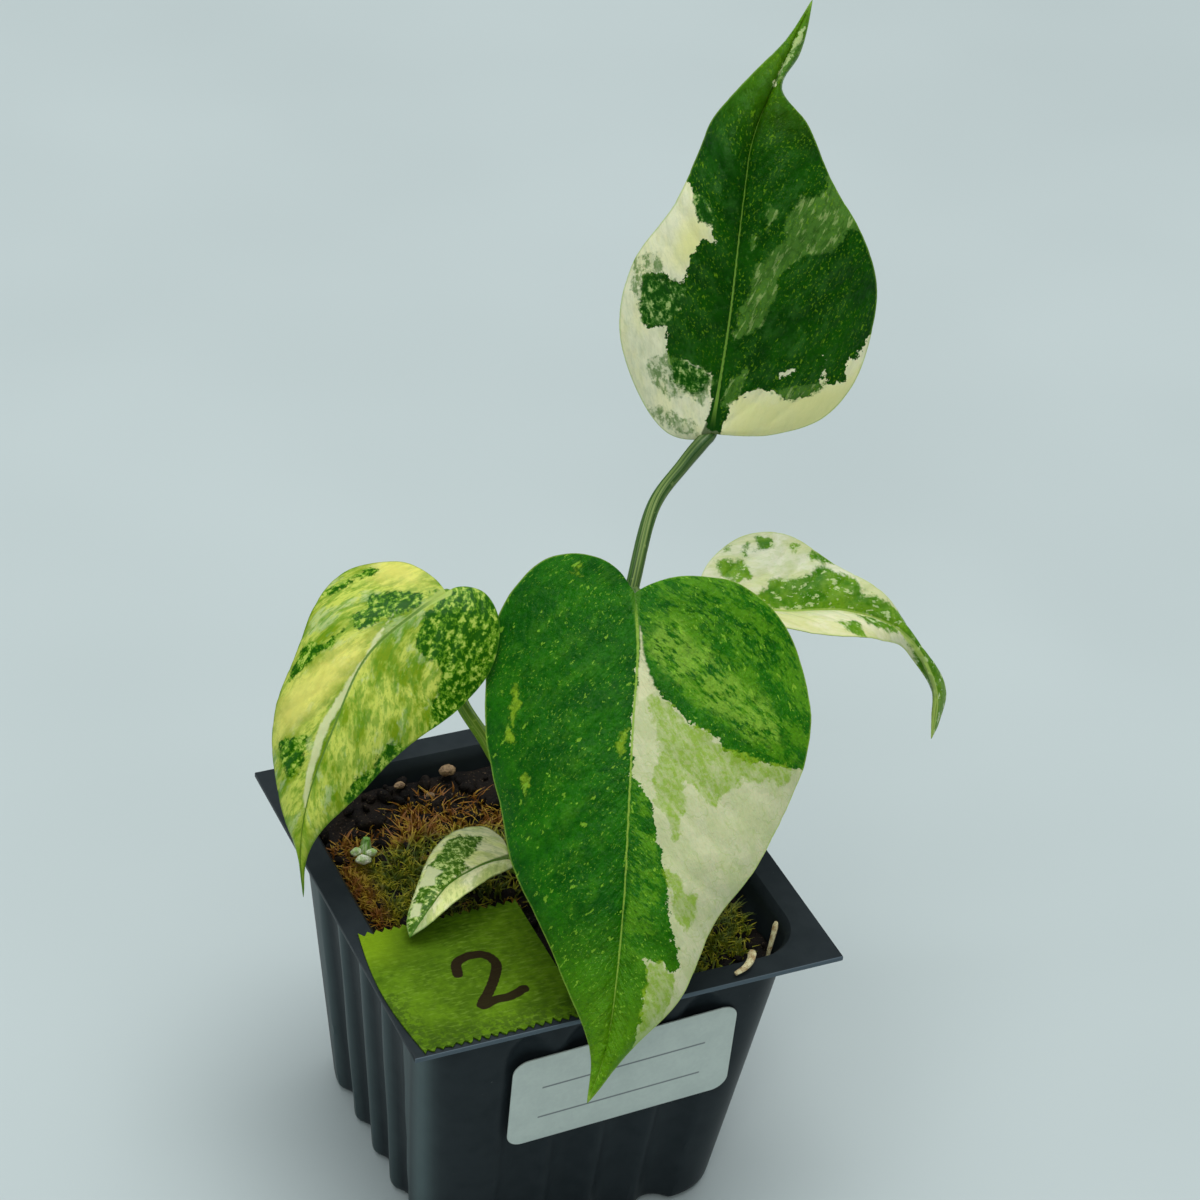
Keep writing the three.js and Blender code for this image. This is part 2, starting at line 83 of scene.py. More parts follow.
# %% [markdown]
# Every finish is a small graph of shader nodes. Made by hand, a graph is drawn in the Shader Editor.
# Here a short class adds a node, sets it and links what feeds it, so that a finish reads like a
# recipe. What a node puts out can be added and multiplied as a number is, which adds Math nodes.
# Colours are given as they look in the finished picture, from 0 to 255. They are turned into the
# linear light that Blender works in, and made lighter by the share of light that the studio gives.
# A finish is mostly a row of layers: what each covers, its colour, and how thick it lies.

# %% Short calls for shader nodes
STUDIO_LIGHT = 0.65  # how bright a white leaf looks in this studio
BRIGHTEST = 0.95  # no paint gives back more light than this


def colour(red, green, blue):
    """The paint that looks like this colour in the studio."""
    shares = [value / 255 for value in (red, green, blue)]
    linear = [share / 12.92 if share < 0.04 else ((share + 0.055) / 1.055) ** 2.4 for share in shares]
    return (*(min(light / STUDIO_LIGHT, BRIGHTEST) for light in linear), 1)


class Signal:
    """A node's output. A sum or product of signals adds the Math nodes that work it out."""

    def __init__(self, graph, socket):
        self.graph = graph
        self.socket = socket

    def __add__(self, other):
        return self.graph.math("ADD", self, other)

    def __sub__(self, other):
        return self.graph.math("SUBTRACT", self, other)

    def __rsub__(self, other):
        return self.graph.math("SUBTRACT", other, self)

    def __mul__(self, other):
        return self.graph.math("MULTIPLY", self, other)

    def __truediv__(self, other):
        return self.graph.math("DIVIDE", self, other)

    def __abs__(self):
        return self.graph.math("ABSOLUTE", self)


class Graph:
    def __init__(self, tree):
        self.tree = tree

    def add(self, kind, inputs=None, output=0, **settings):
        """Adds a node, sets it, feeds its inputs, and gives one of its outputs."""
        node = self.tree.nodes.new(kind)
        for name, value in settings.items():
            setattr(node, name, value)
        for name, value in (inputs or {}).items():
            self.feed(node.inputs[name], value)
        return Signal(self, node.outputs[output])

    def feed(self, socket, value):
        if isinstance(value, Signal):
            self.tree.links.new(value.socket, socket)
        else:
            socket.default_value = value

    def math(self, operation, first, second=0.0):
        return self.add("ShaderNodeMath", {0: first, 1: second}, operation=operation)

    def mix(self, share, first, second):
        """A colour between two others, each a signal or three numbers."""
        first, second = (paint if isinstance(paint, Signal) else colour(*paint) for paint in (first, second))
        return self.add("ShaderNodeMix", {0: share, 6: first, 7: second}, output=2, data_type="RGBA")

    def layers(self, skin, coats):
        """The skin under some coats: what each covers, its colour, and how thick it lies."""
        for cover, paint, amount in coats:
            skin = self.mix(cover * amount, skin, paint)
        return skin

    def between(self, share, first, second):
        """A number between two others, by share."""
        return self.add("ShaderNodeMix", {0: share, 2: first, 3: second})

    def step(self, value, low, high):
        """From 0 at low to 1 at high, with soft ends."""
        inputs = {"Value": value, "From Min": low, "From Max": high}
        return self.add("ShaderNodeMapRange", inputs, interpolation_type="SMOOTHSTEP")

    def vector(self, x, y, z):
        return self.add("ShaderNodeCombineXYZ", {0: x, 1: y, 2: z})

    def axis(self, place, name):
        return self.add("ShaderNodeSeparateXYZ", {0: place}, output=name)

    def noise(self, place, scale, detail, roughness):
        inputs = {"Vector": place, "Scale": scale, "Detail": detail, "Roughness": roughness}
        return self.add("ShaderNodeTexNoise", inputs)

    def attribute(self, name):
        return self.add("ShaderNodeAttribute", output="Fac", attribute_name=name)

    def group(self, tree, **inputs):
        """A shared effect, fed by its inputs' names."""
        named = {name.capitalize(): value for name, value in inputs.items()}
        return self.add("ShaderNodeGroup", named, node_tree=tree)


def make_group(name, inputs, output, build):
    """A node group. inputs gives each socket's name and default, and build fills the group."""
    tree = bpy.data.node_groups.new(name, "ShaderNodeTree")
    for label, default in inputs.items():
        kind = "NodeSocketVector" if default is None else "NodeSocketFloat"
        socket = tree.interface.new_socket(label, in_out="INPUT", socket_type=kind)
        if default is not None:
            socket.default_value = default
    tree.interface.new_socket(output, in_out="OUTPUT", socket_type="NodeSocketFloat")
    graph = Graph(tree)
    start = tree.nodes.new("NodeGroupInput").outputs
    made = build(graph, *(Signal(graph, start[label]) for label in inputs))
    graph.feed(tree.nodes.new("NodeGroupOutput").inputs[output], made)
    return tree


def new_material(name):
    """An empty material, its graph, and the place on the piece, from which its noises are drawn."""
    material = bpy.data.materials.new(name)
    material.use_nodes = True
    graph = Graph(material.node_tree)
    return material, graph, graph.add("ShaderNodeTexCoord", output="Object")


def coat(material, skin, roughness, bump=None, **constants):
    """Feeds the material's shader. bump is a height, its strength and its depth in millimetres."""
    graph = Graph(material.node_tree)
    shader = material.node_tree.nodes["Principled BSDF"]
    graph.feed(shader.inputs["Base Color"], skin)
    graph.feed(shader.inputs["Roughness"], roughness)
    if bump:
        height, strength, depth = bump
        inputs = {"Height": height, "Strength": strength, "Distance": depth * MM}
        graph.feed(shader.inputs["Normal"], graph.add("ShaderNodeBump", inputs))
    for name, value in constants.items():
        shader.inputs[name.replace("_", " ")].default_value = value
    return material


# %% [markdown]
# Three effects come back in several finishes, so each is a node group, built once.
# Ragged edge turns a distance in millimetres into a mask whose border is eaten by noise, as the
# border between green and white tissue is. Fibre field is a noise drawn out along the leaf, at an
# angle to the midrib: streaks and flecks both come from it. Grain is a soft unevenness in which a
# coarse and a fine noise work together.

# %% Shared node groups
def build_ragged(graph, distance, place, reach, scale, softness):
    coarse = graph.noise(place, scale, 3.0, 0.6)
    fine = graph.noise(place, scale * 3.5, 3.0, 0.7)
    shift = (graph.between(0.4, coarse, fine) - 0.5) * reach
    return graph.step(distance + shift, softness * -1.0, softness)


def build_fibres(graph, along, reach, slant, width, length, seed):
    cosine, sine = graph.math("COSINE", slant), graph.math("SINE", slant)
    side = abs(reach)
    across = side * cosine - along * sine
    onward = along * cosine + side * sine
    half = seed + graph.math("SIGN", reach)
    return graph.noise(graph.vector(across / width, onward / length, half), 1.0, 4.0, 0.6)


def build_grain(graph, place, scale):
    coarse = graph.noise(place, scale, 3.0, 0.55)
    fine = graph.noise(place, scale * 6.0, 2.0, 0.5)
    return graph.between(0.35, coarse, fine)


RAGGED = make_group(
    "ragged edge",
    {"Distance": 0.0, "Place": None, "Reach": 2.0, "Scale": 500.0, "Softness": 0.08},
    "Mask",
    build_ragged,
)
FIBRES = make_group(
    "fibre field",
    {"Along": 0.0, "Reach": 0.0, "Slant": 0.4, "Width": 1.0, "Length": 4.0, "Seed": 0.0},
    "Value",
    build_fibres,
)
GRAIN = make_group("grain", {"Place": None, "Scale": 200.0}, "Grain", build_grain)
print("node groups:", [group.name for group in bpy.data.node_groups])

# %% [markdown]
# Most pieces here are sheets or skins: a blade, a wall, a stalk's skin, a strip of tape.
# By hand one would add a grid, drag it into place and give it thickness with Solidify.
# The helpers do the same. lay_grid adds Blender's grid and lays each of its points by a formula in
# u and v, its two directions. The points keep u and v, and later steps read them again.

# %% Helpers for pieces
MERGE_DISTANCE = 0.002  # in millimetres
SHARP = math.radians(60)


def select_only(piece):
    bpy.ops.object.select_all(action="DESELECT")
    piece.select_set(True)
    bpy.context.view_layer.objects.active = piece


def start_from(primitive, name, **settings):
    """Adds one of Blender's primitives, with nothing else selected."""
    bpy.ops.object.select_all(action="DESELECT")
    primitive(**settings)
    bpy.context.object.name = name
    return bpy.context.object


def settle(piece):
    """Applies place, turn and scale, so that the piece stands at the origin."""
    select_only(piece)
    bpy.ops.object.transform_apply(location=True, rotation=True, scale=True)


def edit_all(piece, operator, **settings):
    """Runs one operator of Edit Mode on the whole piece."""
    select_only(piece)
    bpy.ops.object.mode_set(mode="EDIT")
    bpy.ops.mesh.select_all(action="SELECT")
    operator(**settings)
    bpy.ops.object.mode_set(mode="OBJECT")


def apply(piece, kind, **settings):
    """Adds a modifier with these settings, and applies it."""
    select_only(piece)
    modifier = piece.modifiers.new(kind.lower(), kind)
    for name, value in settings.items():
        setattr(modifier, name, value)
    bpy.ops.object.modifier_apply(modifier=modifier.name)


def round_edges(piece, width):
    """A narrow bevel along the sharp edges, so that they catch light."""
    apply(piece, "BEVEL", width=width * MM, segments=2, limit_method="ANGLE", angle_limit=SHARP)


def join(pieces, name):
    """Several objects as one piece."""
    bpy.ops.object.select_all(action="DESELECT")
    for piece in pieces:
        piece.select_set(True)
    bpy.context.view_layer.objects.active = pieces[0]
    bpy.ops.object.join()
    pieces[0].name = name
    return pieces[0]


def vectors_of(piece, name):
    flat = np.empty(len(piece.data.vertices) * 3)
    piece.data.vertices.foreach_get(name, flat)
    return flat.reshape(-1, 3)


def points_of(piece):
    """The piece's points, in millimetres."""
    return vectors_of(piece, "co") / MM


def normals_of(piece):
    return vectors_of(piece, "normal")


def set_points(piece, points):
    piece.data.vertices.foreach_set("co", (np.asarray(points) * MM).ravel())
    piece.data.update()


def push_out(piece, distances):
    """Moves each point along its normal."""
    set_points(piece, points_of(piece) + normals_of(piece) * distances[:, None])


def keep(piece, name, values):
    """Stores a number at each point, for later steps and for shaders."""
    layer = piece.data.attributes.get(name) or piece.data.attributes.new(name, "FLOAT", "POINT")
    layer.data.foreach_set("value", np.asarray(values, np.float32))


def kept(piece, name):
    values = np.empty(len(piece.data.vertices), np.float32)
    piece.data.attributes[name].data.foreach_get("value", values)
    return values.astype(float)


def face_towards(piece, direction):
    """Turns an open sheet over if it faces away from direction."""
    piece.data.update()
    if (normals_of(piece) @ np.asarray(direction, float)).sum() < 0:
        edit_all(piece, bpy.ops.mesh.flip_normals)


def face_outwards(piece):
    edit_all(piece, bpy.ops.mesh.normals_make_consistent, inside=False)


def lay_grid(name, columns, rows, form):
    """A grid whose points are laid by form(u, v), in millimetres."""
    shape = {"x_subdivisions": columns, "y_subdivisions": rows, "size": 2 * MM}
    piece = start_from(bpy.ops.mesh.primitive_grid_add, name, **shape)
    flat = points_of(piece)
    u, v = (np.clip((flat[:, axis] + 1) / 2, 0, 1) for axis in (0, 1))
    keep(piece, "u", u)
    keep(piece, "v", v)
    set_points(piece, form(u, v))
    edit_all(piece, bpy.ops.mesh.remove_doubles, threshold=MERGE_DISTANCE * MM)
    return piece


def finish(piece, material, nodes=(), *, smooth):
    """Hands a piece over: smooth faces, a finish, its body, and the CAD nodes that it stands for."""
    select_only(piece)
    bpy.ops.object.shade_smooth_by_angle(angle=math.radians(smooth))
    piece.data.materials.clear()
    piece.data.materials.append(material)
    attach(piece, "root")
    if nodes:
        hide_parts(*nodes)
    faces = sum(len(face.vertices) - 2 for face in piece.data.polygons)
    print(f"{piece.name}: {faces} triangles")


def lerp(first, second, share):
    return first + (second - first) * share


def bell(distance, width):
    return np.exp(-((distance / width) ** 2))


def flat_points(x, y):
    return np.stack([x, y, 0 * x], axis=1)


def lumps(points, size, seed=0):
    """Blender's own noise at each point, from -1 to 1, with features of about size millimetres."""
    shift = Vector((seed * 7.3, seed * 3.1, seed * 5.7))
    return np.array([noise.noise(Vector(p) / size + shift) for p in points])


# %% [markdown]
# The pot is vacuum-formed: one black sheet drawn over a mould, so floor, wall and flange are one
# skin of even thickness. Four shallow flutes stiffen each wall. They end in arches under the
# flange, and every bend has a radius. So it is modelled as one sheet, laid from the middle of the
# floor, up the wall and out to the flange's edge, and Solidify gives it its thickness.
# Four drain holes are cut at the end, as a punch would.

# %% The pot's outline
POT_WIDTH = 64.0
POT_HEIGHT = 50.0
OPENING_HALF = 28.4
DRAFT = 0.1
CORNER_TOP = 7.0
CORNER_BASE = 8.6
WALL = 0.7
FOOT_ROUND = 1.4
RIM_ROUND = 0.7
FLUTES = [-0.475, -0.158, 0.158, 0.475]
FLUTE_HALF = 0.135
FLUTE_DEPTH_TOP = 0.9
FLUTE_DEPTH_BASE = 1.6
FLUTE_TOP = 45.5
ARCH_HEIGHT = 4.0
DRAIN_RADIUS = 3.0
DRAIN_OFFSET = 12.0
SIDE_STEPS = 60
CORNER_SHARE = 0.2  # of a side's steps, those that go round its corner
REFLECTION_TURN = math.radians(18)  # how far round its corner the band of painted reflection lies


def half_width(z):
    return OPENING_HALF - DRAFT * (POT_HEIGHT - z)


def corner_radius(z):
    return lerp(CORNER_BASE, CORNER_TOP, z / POT_HEIGHT)


def from_flute(share):
    """How far a place of the wall is from the nearest flute's middle: 1 at the flute's edge."""
    return np.min([np.abs(share - centre) for centre in FLUTES], axis=0) / FLUTE_HALF


def flute_depth(share, z):
    bowl = np.maximum(0, 1 - from_flute(share) ** 2)
    depth = lerp(FLUTE_DEPTH_BASE, FLUTE_DEPTH_TOP, z / POT_HEIGHT)
    arch = np.clip((FLUTE_TOP - z) / ARCH_HEIGHT + bowl - 1, 0, 1)
    return depth * bowl * np.minimum(1, 2 * arch)


def outline(u, z, inset):
    """A point of the pot's outline: u runs once round it, from side to side."""
    side = np.minimum((u * 4).astype(int), 3)
    part = u * 4 - side
    half = half_width(z) - inset
    radius = np.maximum(corner_radius(z) - inset, 0.01)
    flat = half - radius
    straight = lerp(-1, 1, np.clip(part / (1 - CORNER_SHARE), 0, 1))
    turn = np.clip((part - 1 + CORNER_SHARE) / CORNER_SHARE, 0, 1) * math.pi / 2
    along = straight * flat + radius * np.sin(turn)
    share = along / half_width(z)
    out = np.where(turn > 0, flat + radius * np.cos(turn), half - flute_depth(share, z))
    angle = side * math.pi / 2
    x = along * np.cos(angle) + out * np.sin(angle)
    y = along * np.sin(angle) - out * np.cos(angle)
    return np.stack([x, y, z + 0 * x], axis=1)


def to_square(points, share):
    """Moves points of the opening's edge out towards the flange's square edge."""
    core = OPENING_HALF - CORNER_TOP
    reach = POT_WIDTH / 2
    x, y = points[:, 0], points[:, 1]
    dx = np.sign(x) * np.maximum(np.abs(x) - core, 0)
    dy = np.sign(y) * np.maximum(np.abs(y) - core, 0)
    far = np.maximum(np.abs(dx), np.abs(dy))
    grow = (reach - core) / np.maximum(far, 1e-6) - 1
    moved = points.copy()
    moved[:, 0] += dx * grow * share
    moved[:, 1] += dy * grow * share
    return moved


# %% The pot
FLOOR_PART = 0.12  # shares of the sheet's rows: floor, wall with its rounds, flange
WALL_PART = 0.76
POT_ROWS = 88
RIM_EDGE = 0.16  # how far the cut edges are rounded
REFLECTION_WIDTH = 0.28  # in radians round the corner, the width of the painted reflection


def pot_form(u, v):
    on_floor = v < FLOOR_PART
    on_flange = v > FLOOR_PART + WALL_PART
    rise = np.clip((v - FLOOR_PART) / WALL_PART, 0, 1)
    foot_length = FOOT_ROUND * math.pi / 2
    rim_length = RIM_ROUND * math.pi / 2
    wall_top = POT_HEIGHT - WALL
    straight = wall_top - FOOT_ROUND - RIM_ROUND
    travel = rise * (foot_length + straight + rim_length)
    foot = np.clip(travel / foot_length, 0, 1) * math.pi / 2
    rim = np.clip((travel - foot_length - straight) / rim_length, 0, 1) * math.pi / 2
    z = FOOT_ROUND * (1 - np.cos(foot)) + np.clip(travel - foot_length, 0, straight)
    z = z + RIM_ROUND * np.sin(rim)
    inset = FOOT_ROUND * (1 - np.sin(foot)) - RIM_ROUND * (1 - np.cos(rim))
    inset = np.where(on_floor, FOOT_ROUND, inset)
    z = np.where(on_floor, 0, z)
    points = outline(u, z, inset)
    floor_share = np.clip(v / FLOOR_PART, 0, 1)
    points[on_floor, :2] *= floor_share[on_floor, None] ** 0.8
    out = np.clip((v - FLOOR_PART - WALL_PART) / (1 - FLOOR_PART - WALL_PART), 0, 1)
    return to_square(points, np.where(on_flange, out, 0))


def drill_drains(pot):
    drills = []
    for x in (-DRAIN_OFFSET, DRAIN_OFFSET):
        for y in (-DRAIN_OFFSET, DRAIN_OFFSET):
            place = (x * MM, y * MM, 0)
            bpy.ops.mesh.primitive_cylinder_add(
                vertices=32, radius=DRAIN_RADIUS * MM, depth=6 * WALL * MM, location=place
            )
            drills.append(bpy.context.object)
    punch = join(drills, "punch")
    apply(pot, "BOOLEAN", operation="DIFFERENCE", object=punch, solver="EXACT")
    bpy.data.objects.remove(punch)


def painted_reflections(points):
    """1 where light is painted in: highlights on the left wall's ridges and the floor's reflection round its
    front corner.
    """
    x, y, z = points.T
    flat = half_width(z) - corner_radius(z)
    ridge = np.clip(from_flute(y / half_width(z)) * 2.5 - 1.5, 0, 1)
    ridge *= (x < 0) * (np.abs(y) < flat) * (z < FLUTE_TOP)
    turn = np.arctan2(-y - flat, -x - flat)
    corner = bell(turn - REFLECTION_TURN, REFLECTION_WIDTH) * np.clip(POT_HEIGHT - 1 - z, 0, 1)
    corner *= (-x > flat) * (-y > flat)
    return np.maximum(0.6 * ridge, corner)


def make_pot():
    pot = lay_grid("pot_shell", 4 * SIDE_STEPS, POT_ROWS, pot_form)
    face_outwards(pot)
    # the open sheet may come out inside out: its floor has to face down
    floor = np.abs(points_of(pot)[:, 2]) < 0.01
    if normals_of(pot)[floor, 2].sum() > 0:
        face_towards(pot, -normals_of(pot).sum(axis=0))
    apply(pot, "SOLIDIFY", thickness=WALL * MM, offset=-1, use_even_offset=True)
    drill_drains(pot)
    round_edges(pot, RIM_EDGE)
    keep(pot, "painted_reflections", painted_reflections(points_of(pot)))
    return pot


pot = make_pot()
print("pot, in mm:", points_of(pot).min(axis=0).round(2), points_of(pot).max(axis=0).round(2))

# %% [markdown]
# The plastic is nearly black, yet it never looks flat: a fine orange-peel skin spreads its
# reflections, handling leaves its gloss duller in patches, and lime and dust gather in pale specks.
# A gloss map from noise does more here than colour does, because a black thing shows mostly what
# it reflects. The floor's reflection round the front corner and highlights on the left wall's
# ridges are painted into the colour as lighter grey.

# %% The pot's plastic
FRONT_EDGE_HIGHLIGHT = [0.2, 0.05]  # painted highlight on the flange's front edge, this far from its front, in millimetres


def make_plastic():
    material, graph, place = new_material("pot plastic")
    clouds = graph.group(GRAIN, place=place, scale=60.0)
    specks = graph.step(graph.noise(place, 900.0, 3.0, 0.6), 0.735, 0.77)
    low, high = ((depth - POT_WIDTH / 2) * MM for depth in FRONT_EDGE_HIGHLIGHT)
    reflection_share = graph.attribute("painted_reflections") * graph.between(clouds, 0.6, 1.0)
    skin = graph.mix(graph.step(clouds, 0.35, 0.65), (30, 36, 39), (37, 43, 46))
    # painted reflection and highlights: lighter grey round the front corner and on the left wall's ridges
    skin = graph.mix(reflection_share, skin, (76, 90, 91))
    # painted highlight: a lighter line along the flange's front edge
    skin = graph.mix(graph.step(graph.axis(place, "Y"), low, high), skin, (74, 86, 94))
    skin = graph.mix(specks, skin, (70, 74, 72))
    roughness = graph.between(clouds, 0.26, 0.42) + specks * 0.3
    orange_peel = graph.group(GRAIN, place=place, scale=900.0)
    return coat(material, skin, roughness, (orange_peel, 0.25, 0.06), IOR=1.14)


finish(pot, make_plastic(), ["pot"], smooth=35)

# %% [markdown]
# A leaf grows from its midrib outwards, so it is described that way too. The midrib and the two
# margins are smooth curves through a few points. A ray from the midrib to a margin carries the
# points between them, and swells towards the upper face. Two numbers then name any place on the
# blade: its share of the way from stalk to tip, and how far across it is, from -1 at one margin
# over 0 at the midrib to 1 at the other. The colours are placed with the same two numbers.

# %% The leaves' measures
FOOT_POWER = 1.35
BLADE = 0.36
RIB = 0.7
ALONG_STEPS = 150
ACROSS_STEPS = 72

LEAVES = {
    "upper": {
        "up": [-0.4, -0.72, 0.56],
        "swell": 2.2,
        "midrib": [[28.5, 17, 107], [31.5, 21, 122], [34.5, 26.5, 138], [36.5, 29.5, 145.5],
                   [40.5, 32, 153], [46.5, 35.5, 162.5]],
        "margins": [
            [[27, 17.5, 106], [23.5, 20, 106], [20.5, 25, 110], [19.5, 30, 117.5], [21.5, 32.5, 127],
             [27, 31.5, 136], [30, 33, 142.5], [32, 33.9, 146.7], [36, 34, 151], [42.5, 34.5, 157.5]],
            [[30.5, 16, 107], [36.5, 14, 107], [43.5, 13, 109], [49, 14, 115], [52.5, 17.5, 124.5],
             [50.5, 20.5, 133], [46.5, 24.5, 141], [43.8, 28, 147.4], [41, 31, 152], [44, 32.5, 156]],
        ],
        "turn": None,
        "stalk": [[5, 1, 62], [11, 4.5, 81], [14.5, 9, 89.5], [19.5, 14.5, 98.5], [24, 16, 103],
                  [27.5, 17, 106]],
        "top_radius": 0.95,
    },
    "central": {
        "up": [-0.35, -0.68, 0.64],
        "swell": 2.2,
        "midrib": [[11.5, 2.5, 93], [9.5, -4, 88.5], [6, -11.5, 82.5], [2, -20.5, 74.5],
                   [-2, -29.5, 64], [-7.5, -39, 50.5], [-11, -42, 44.5]],
        "margins": [
            [[10.5, 6, 94.5], [8.5, 8.5, 95.5], [5.5, 11.5, 95], [2, 13, 93.5], [-3.5, 11.5, 88.5],
             [-8, 7, 83], [-10.5, 0, 77.5], [-12.5, -12.5, 69], [-12, -23.5, 62], [-10, -33.5, 55],
             [-9.5, -38.5, 49.5]],
            [[14, 2.5, 94], [17.5, 2.5, 94.5], [21.5, 1.5, 94.5], [26.5, 0, 93], [31.5, -5, 88],
             [32.5, -12, 82], [28, -20.5, 75], [20.5, -27, 69.5], [10, -33.5, 63], [2.5, -38.5, 55.5],
             [-5.5, -40.5, 49.5]],
        ],
        "turn": 290,
        "stalk": [[4, -2, 60], [8.5, 1, 78], [10.5, 4, 87.5], [11.5, 3.8, 91.4]],
        "top_radius": 1.0,
    },
    "left": {
        "up": [-0.45, -0.45, 0.77],
        "swell": 1.2,
        "midrib": [[-12, 13, 91], [-16.5, 12, 89.5], [-24.5, 10, 85], [-31, 5, 77.5],
                   [-35.5, 1.5, 69.5], [-37.5, -1.5, 63.5], [-38, -4.5, 57.5]],
        "margins": [
            [[-13, 15.5, 92], [-16, 20.5, 92], [-22, 23.5, 90], [-28.5, 20.5, 86.5],
             [-33.5, 15.5, 81], [-38, 10, 73.5], [-38.5, 3.5, 67.5], [-38, -1.5, 62.5]],
            [[-10, 13, 91.5], [-7, 11.5, 91], [-6, 8, 88.5], [-8.5, 4.5, 83], [-13.5, 2.5, 79],
             [-21, 1, 76], [-27.5, -0.5, 71.5], [-34.5, -1.5, 66], [-37, -2.5, 62]],
        ],
        "turn": 140,
        "stalk": [[-1.6, 5, 56], [-5.7, 9, 66], [-9.4, 11.5, 73], [-11.5, 14, 82], [-11.8, 14.2, 89]],
        "top_radius": 0.95,
    },
    "right": {
        "up": [-0.1, -0.1, 1],
        "swell": 0.8,
        "midrib": [[25.5, 9, 83], [31.5, 8, 82.5], [37, 6.5, 81.5], [47, 5, 80.5], [53.5, 3, 78],
                   [57, 1.5, 75], [60, -2, 68], [59, -4.5, 61.5]],
        "margins": [
            [[26, 11, 85], [29, 14, 87], [35.5, 16.5, 88.5], [42, 15, 88], [48.5, 10, 84.5],
             [55, 5.5, 80], [59, 1.5, 73.5], [62.5, -1, 67], [61, -3, 63]],
            [[24.5, 5, 85], [28.5, 1, 85], [34, 0, 83.8], [39, -1, 82.8], [44, -1.9, 81.4],
             [50, -0.8, 78.9], [56.2, 1.7, 73.8], [59.9, -0.9, 67.6], [59.4, -3, 64.4]],
        ],
        "turn": 30,
        "stalk": [[8, 3, 57], [15, 7, 70], [21.5, 9, 79], [24.5, 9.2, 82]],
        "top_radius": 0.9,
    },
    "small": {
        "up": [-0.2, -0.5, 0.85],
        "swell": 0.5,
        "midrib": [[-5.5, -0.5, 52.5], [-9, -2, 54], [-12.5, -3.5, 54.7], [-17, -5.5, 54.7],
                   [-20.5, -8, 53.7], [-24.5, -10.5, 51.4]],
        "margins": [
            [[-5, 3, 53], [-6.5, 6, 53.5], [-11, 5, 55], [-16.5, 1.5, 55.5], [-21, -4, 54.2],
             [-24, -8, 52.2]],
            [[-5.8, -3, 53.6], [-8.5, -5.5, 55], [-11.5, -7, 55.7], [-16, -9.4, 56],
             [-19.5, -10.6, 55], [-22.5, -10.9, 53]],
        ],
        "turn": 205,
        "stalk": [[-3, -1.5, 49.5], [-4.8, -0.9, 51.2]],
        "top_radius": 0.8,
    },
}


# %% A smooth curve through points
CURVE_STEPS = 200


def smooth_line(points, shares):
    """Places at shares of the length of a smooth curve, which passes evenly through the points."""
    knots = np.array(points, float)
    count = len(knots)
    padded = np.vstack([2 * knots[0] - knots[1], knots, 2 * knots[-1] - knots[-2]])

    def at(t):
        place = np.asarray(t, float) * (count - 1)
        first = np.minimum(place.astype(int), count - 2)
        w = (place - first)[:, None]
        p0, p1, p2, p3 = (padded[first + k] for k in range(4))
        d0, d1, d2 = (np.sqrt(np.linalg.norm(b - a, axis=1))[:, None]
                      for a, b in ((p0, p1), (p1, p2), (p2, p3)))
        t1 = ((p1 - p0) / d0 - (p2 - p0) / (d0 + d1) + (p2 - p1) / d1) * d1
        t2 = ((p2 - p1) / d1 - (p3 - p1) / (d1 + d2) + (p3 - p2) / d2) * d1
        square = 3 * (p2 - p1) - 2 * t1 - t2
        cube = 2 * (p1 - p2) + t1 + t2
        return p1 + t1 * w + square * w**2 + cube * w**3

    steps = np.linspace(0, 1, CURVE_STEPS + 1)
    pieces = np.linalg.norm(np.diff(at(steps), axis=0), axis=1)
    lengths = np.concatenate([[0], np.cumsum(pieces)])
    return at(np.interp(np.asarray(shares, float) * lengths[-1], lengths, steps))


def unit(vector):
    vector = np.asarray(vector, float)
    return vector / np.linalg.norm(vector)


def ray_ends(leaf, share, across):
    """Where a ray starts on the midrib, and where it ends on its margin."""
    foot = smooth_line(leaf["midrib"], share**FOOT_POWER)
    edge = np.empty_like(foot)
    for side, margin in enumerate(leaf["margins"]):
        ours = across > 0 if side else across <= 0
        line = [leaf["midrib"][0], *margin, leaf["midrib"][-1]]
        edge[ours] = smooth_line(line, share)[ours]
    return foot, edge


def blade_form(leaf, share, across):
    """A place on the blade, from its share of the length and how far across it is."""
    foot, edge = ray_ends(leaf, share, across)
    out = np.abs(across)[:, None]
    swell = leaf["swell"] * 4 * out * (1 - out) * np.sin(math.pi * share)[:, None]
    return foot + (edge - foot) * out + swell * unit(leaf["up"])


for name, leaf in LEAVES.items():
    ends = smooth_line(leaf["midrib"], np.linspace(0, 1, 50))
    print(f"{name} leaf: {np.linalg.norm(np.diff(ends, axis=0), axis=1).sum():.0f} mm long")

# %% [markdown]
# A real blade is never as smooth as its outline. Faint side veins lie in shallow grooves, the
# tissue between them quilts up and is full of small dents, and the margin waves a little. All of it
# is a formula of two lengths, along the midrib and away from it, so it becomes real relief in the
# mesh. The midrib is a fine groove above and stands out below, where the stalk runs on into it.

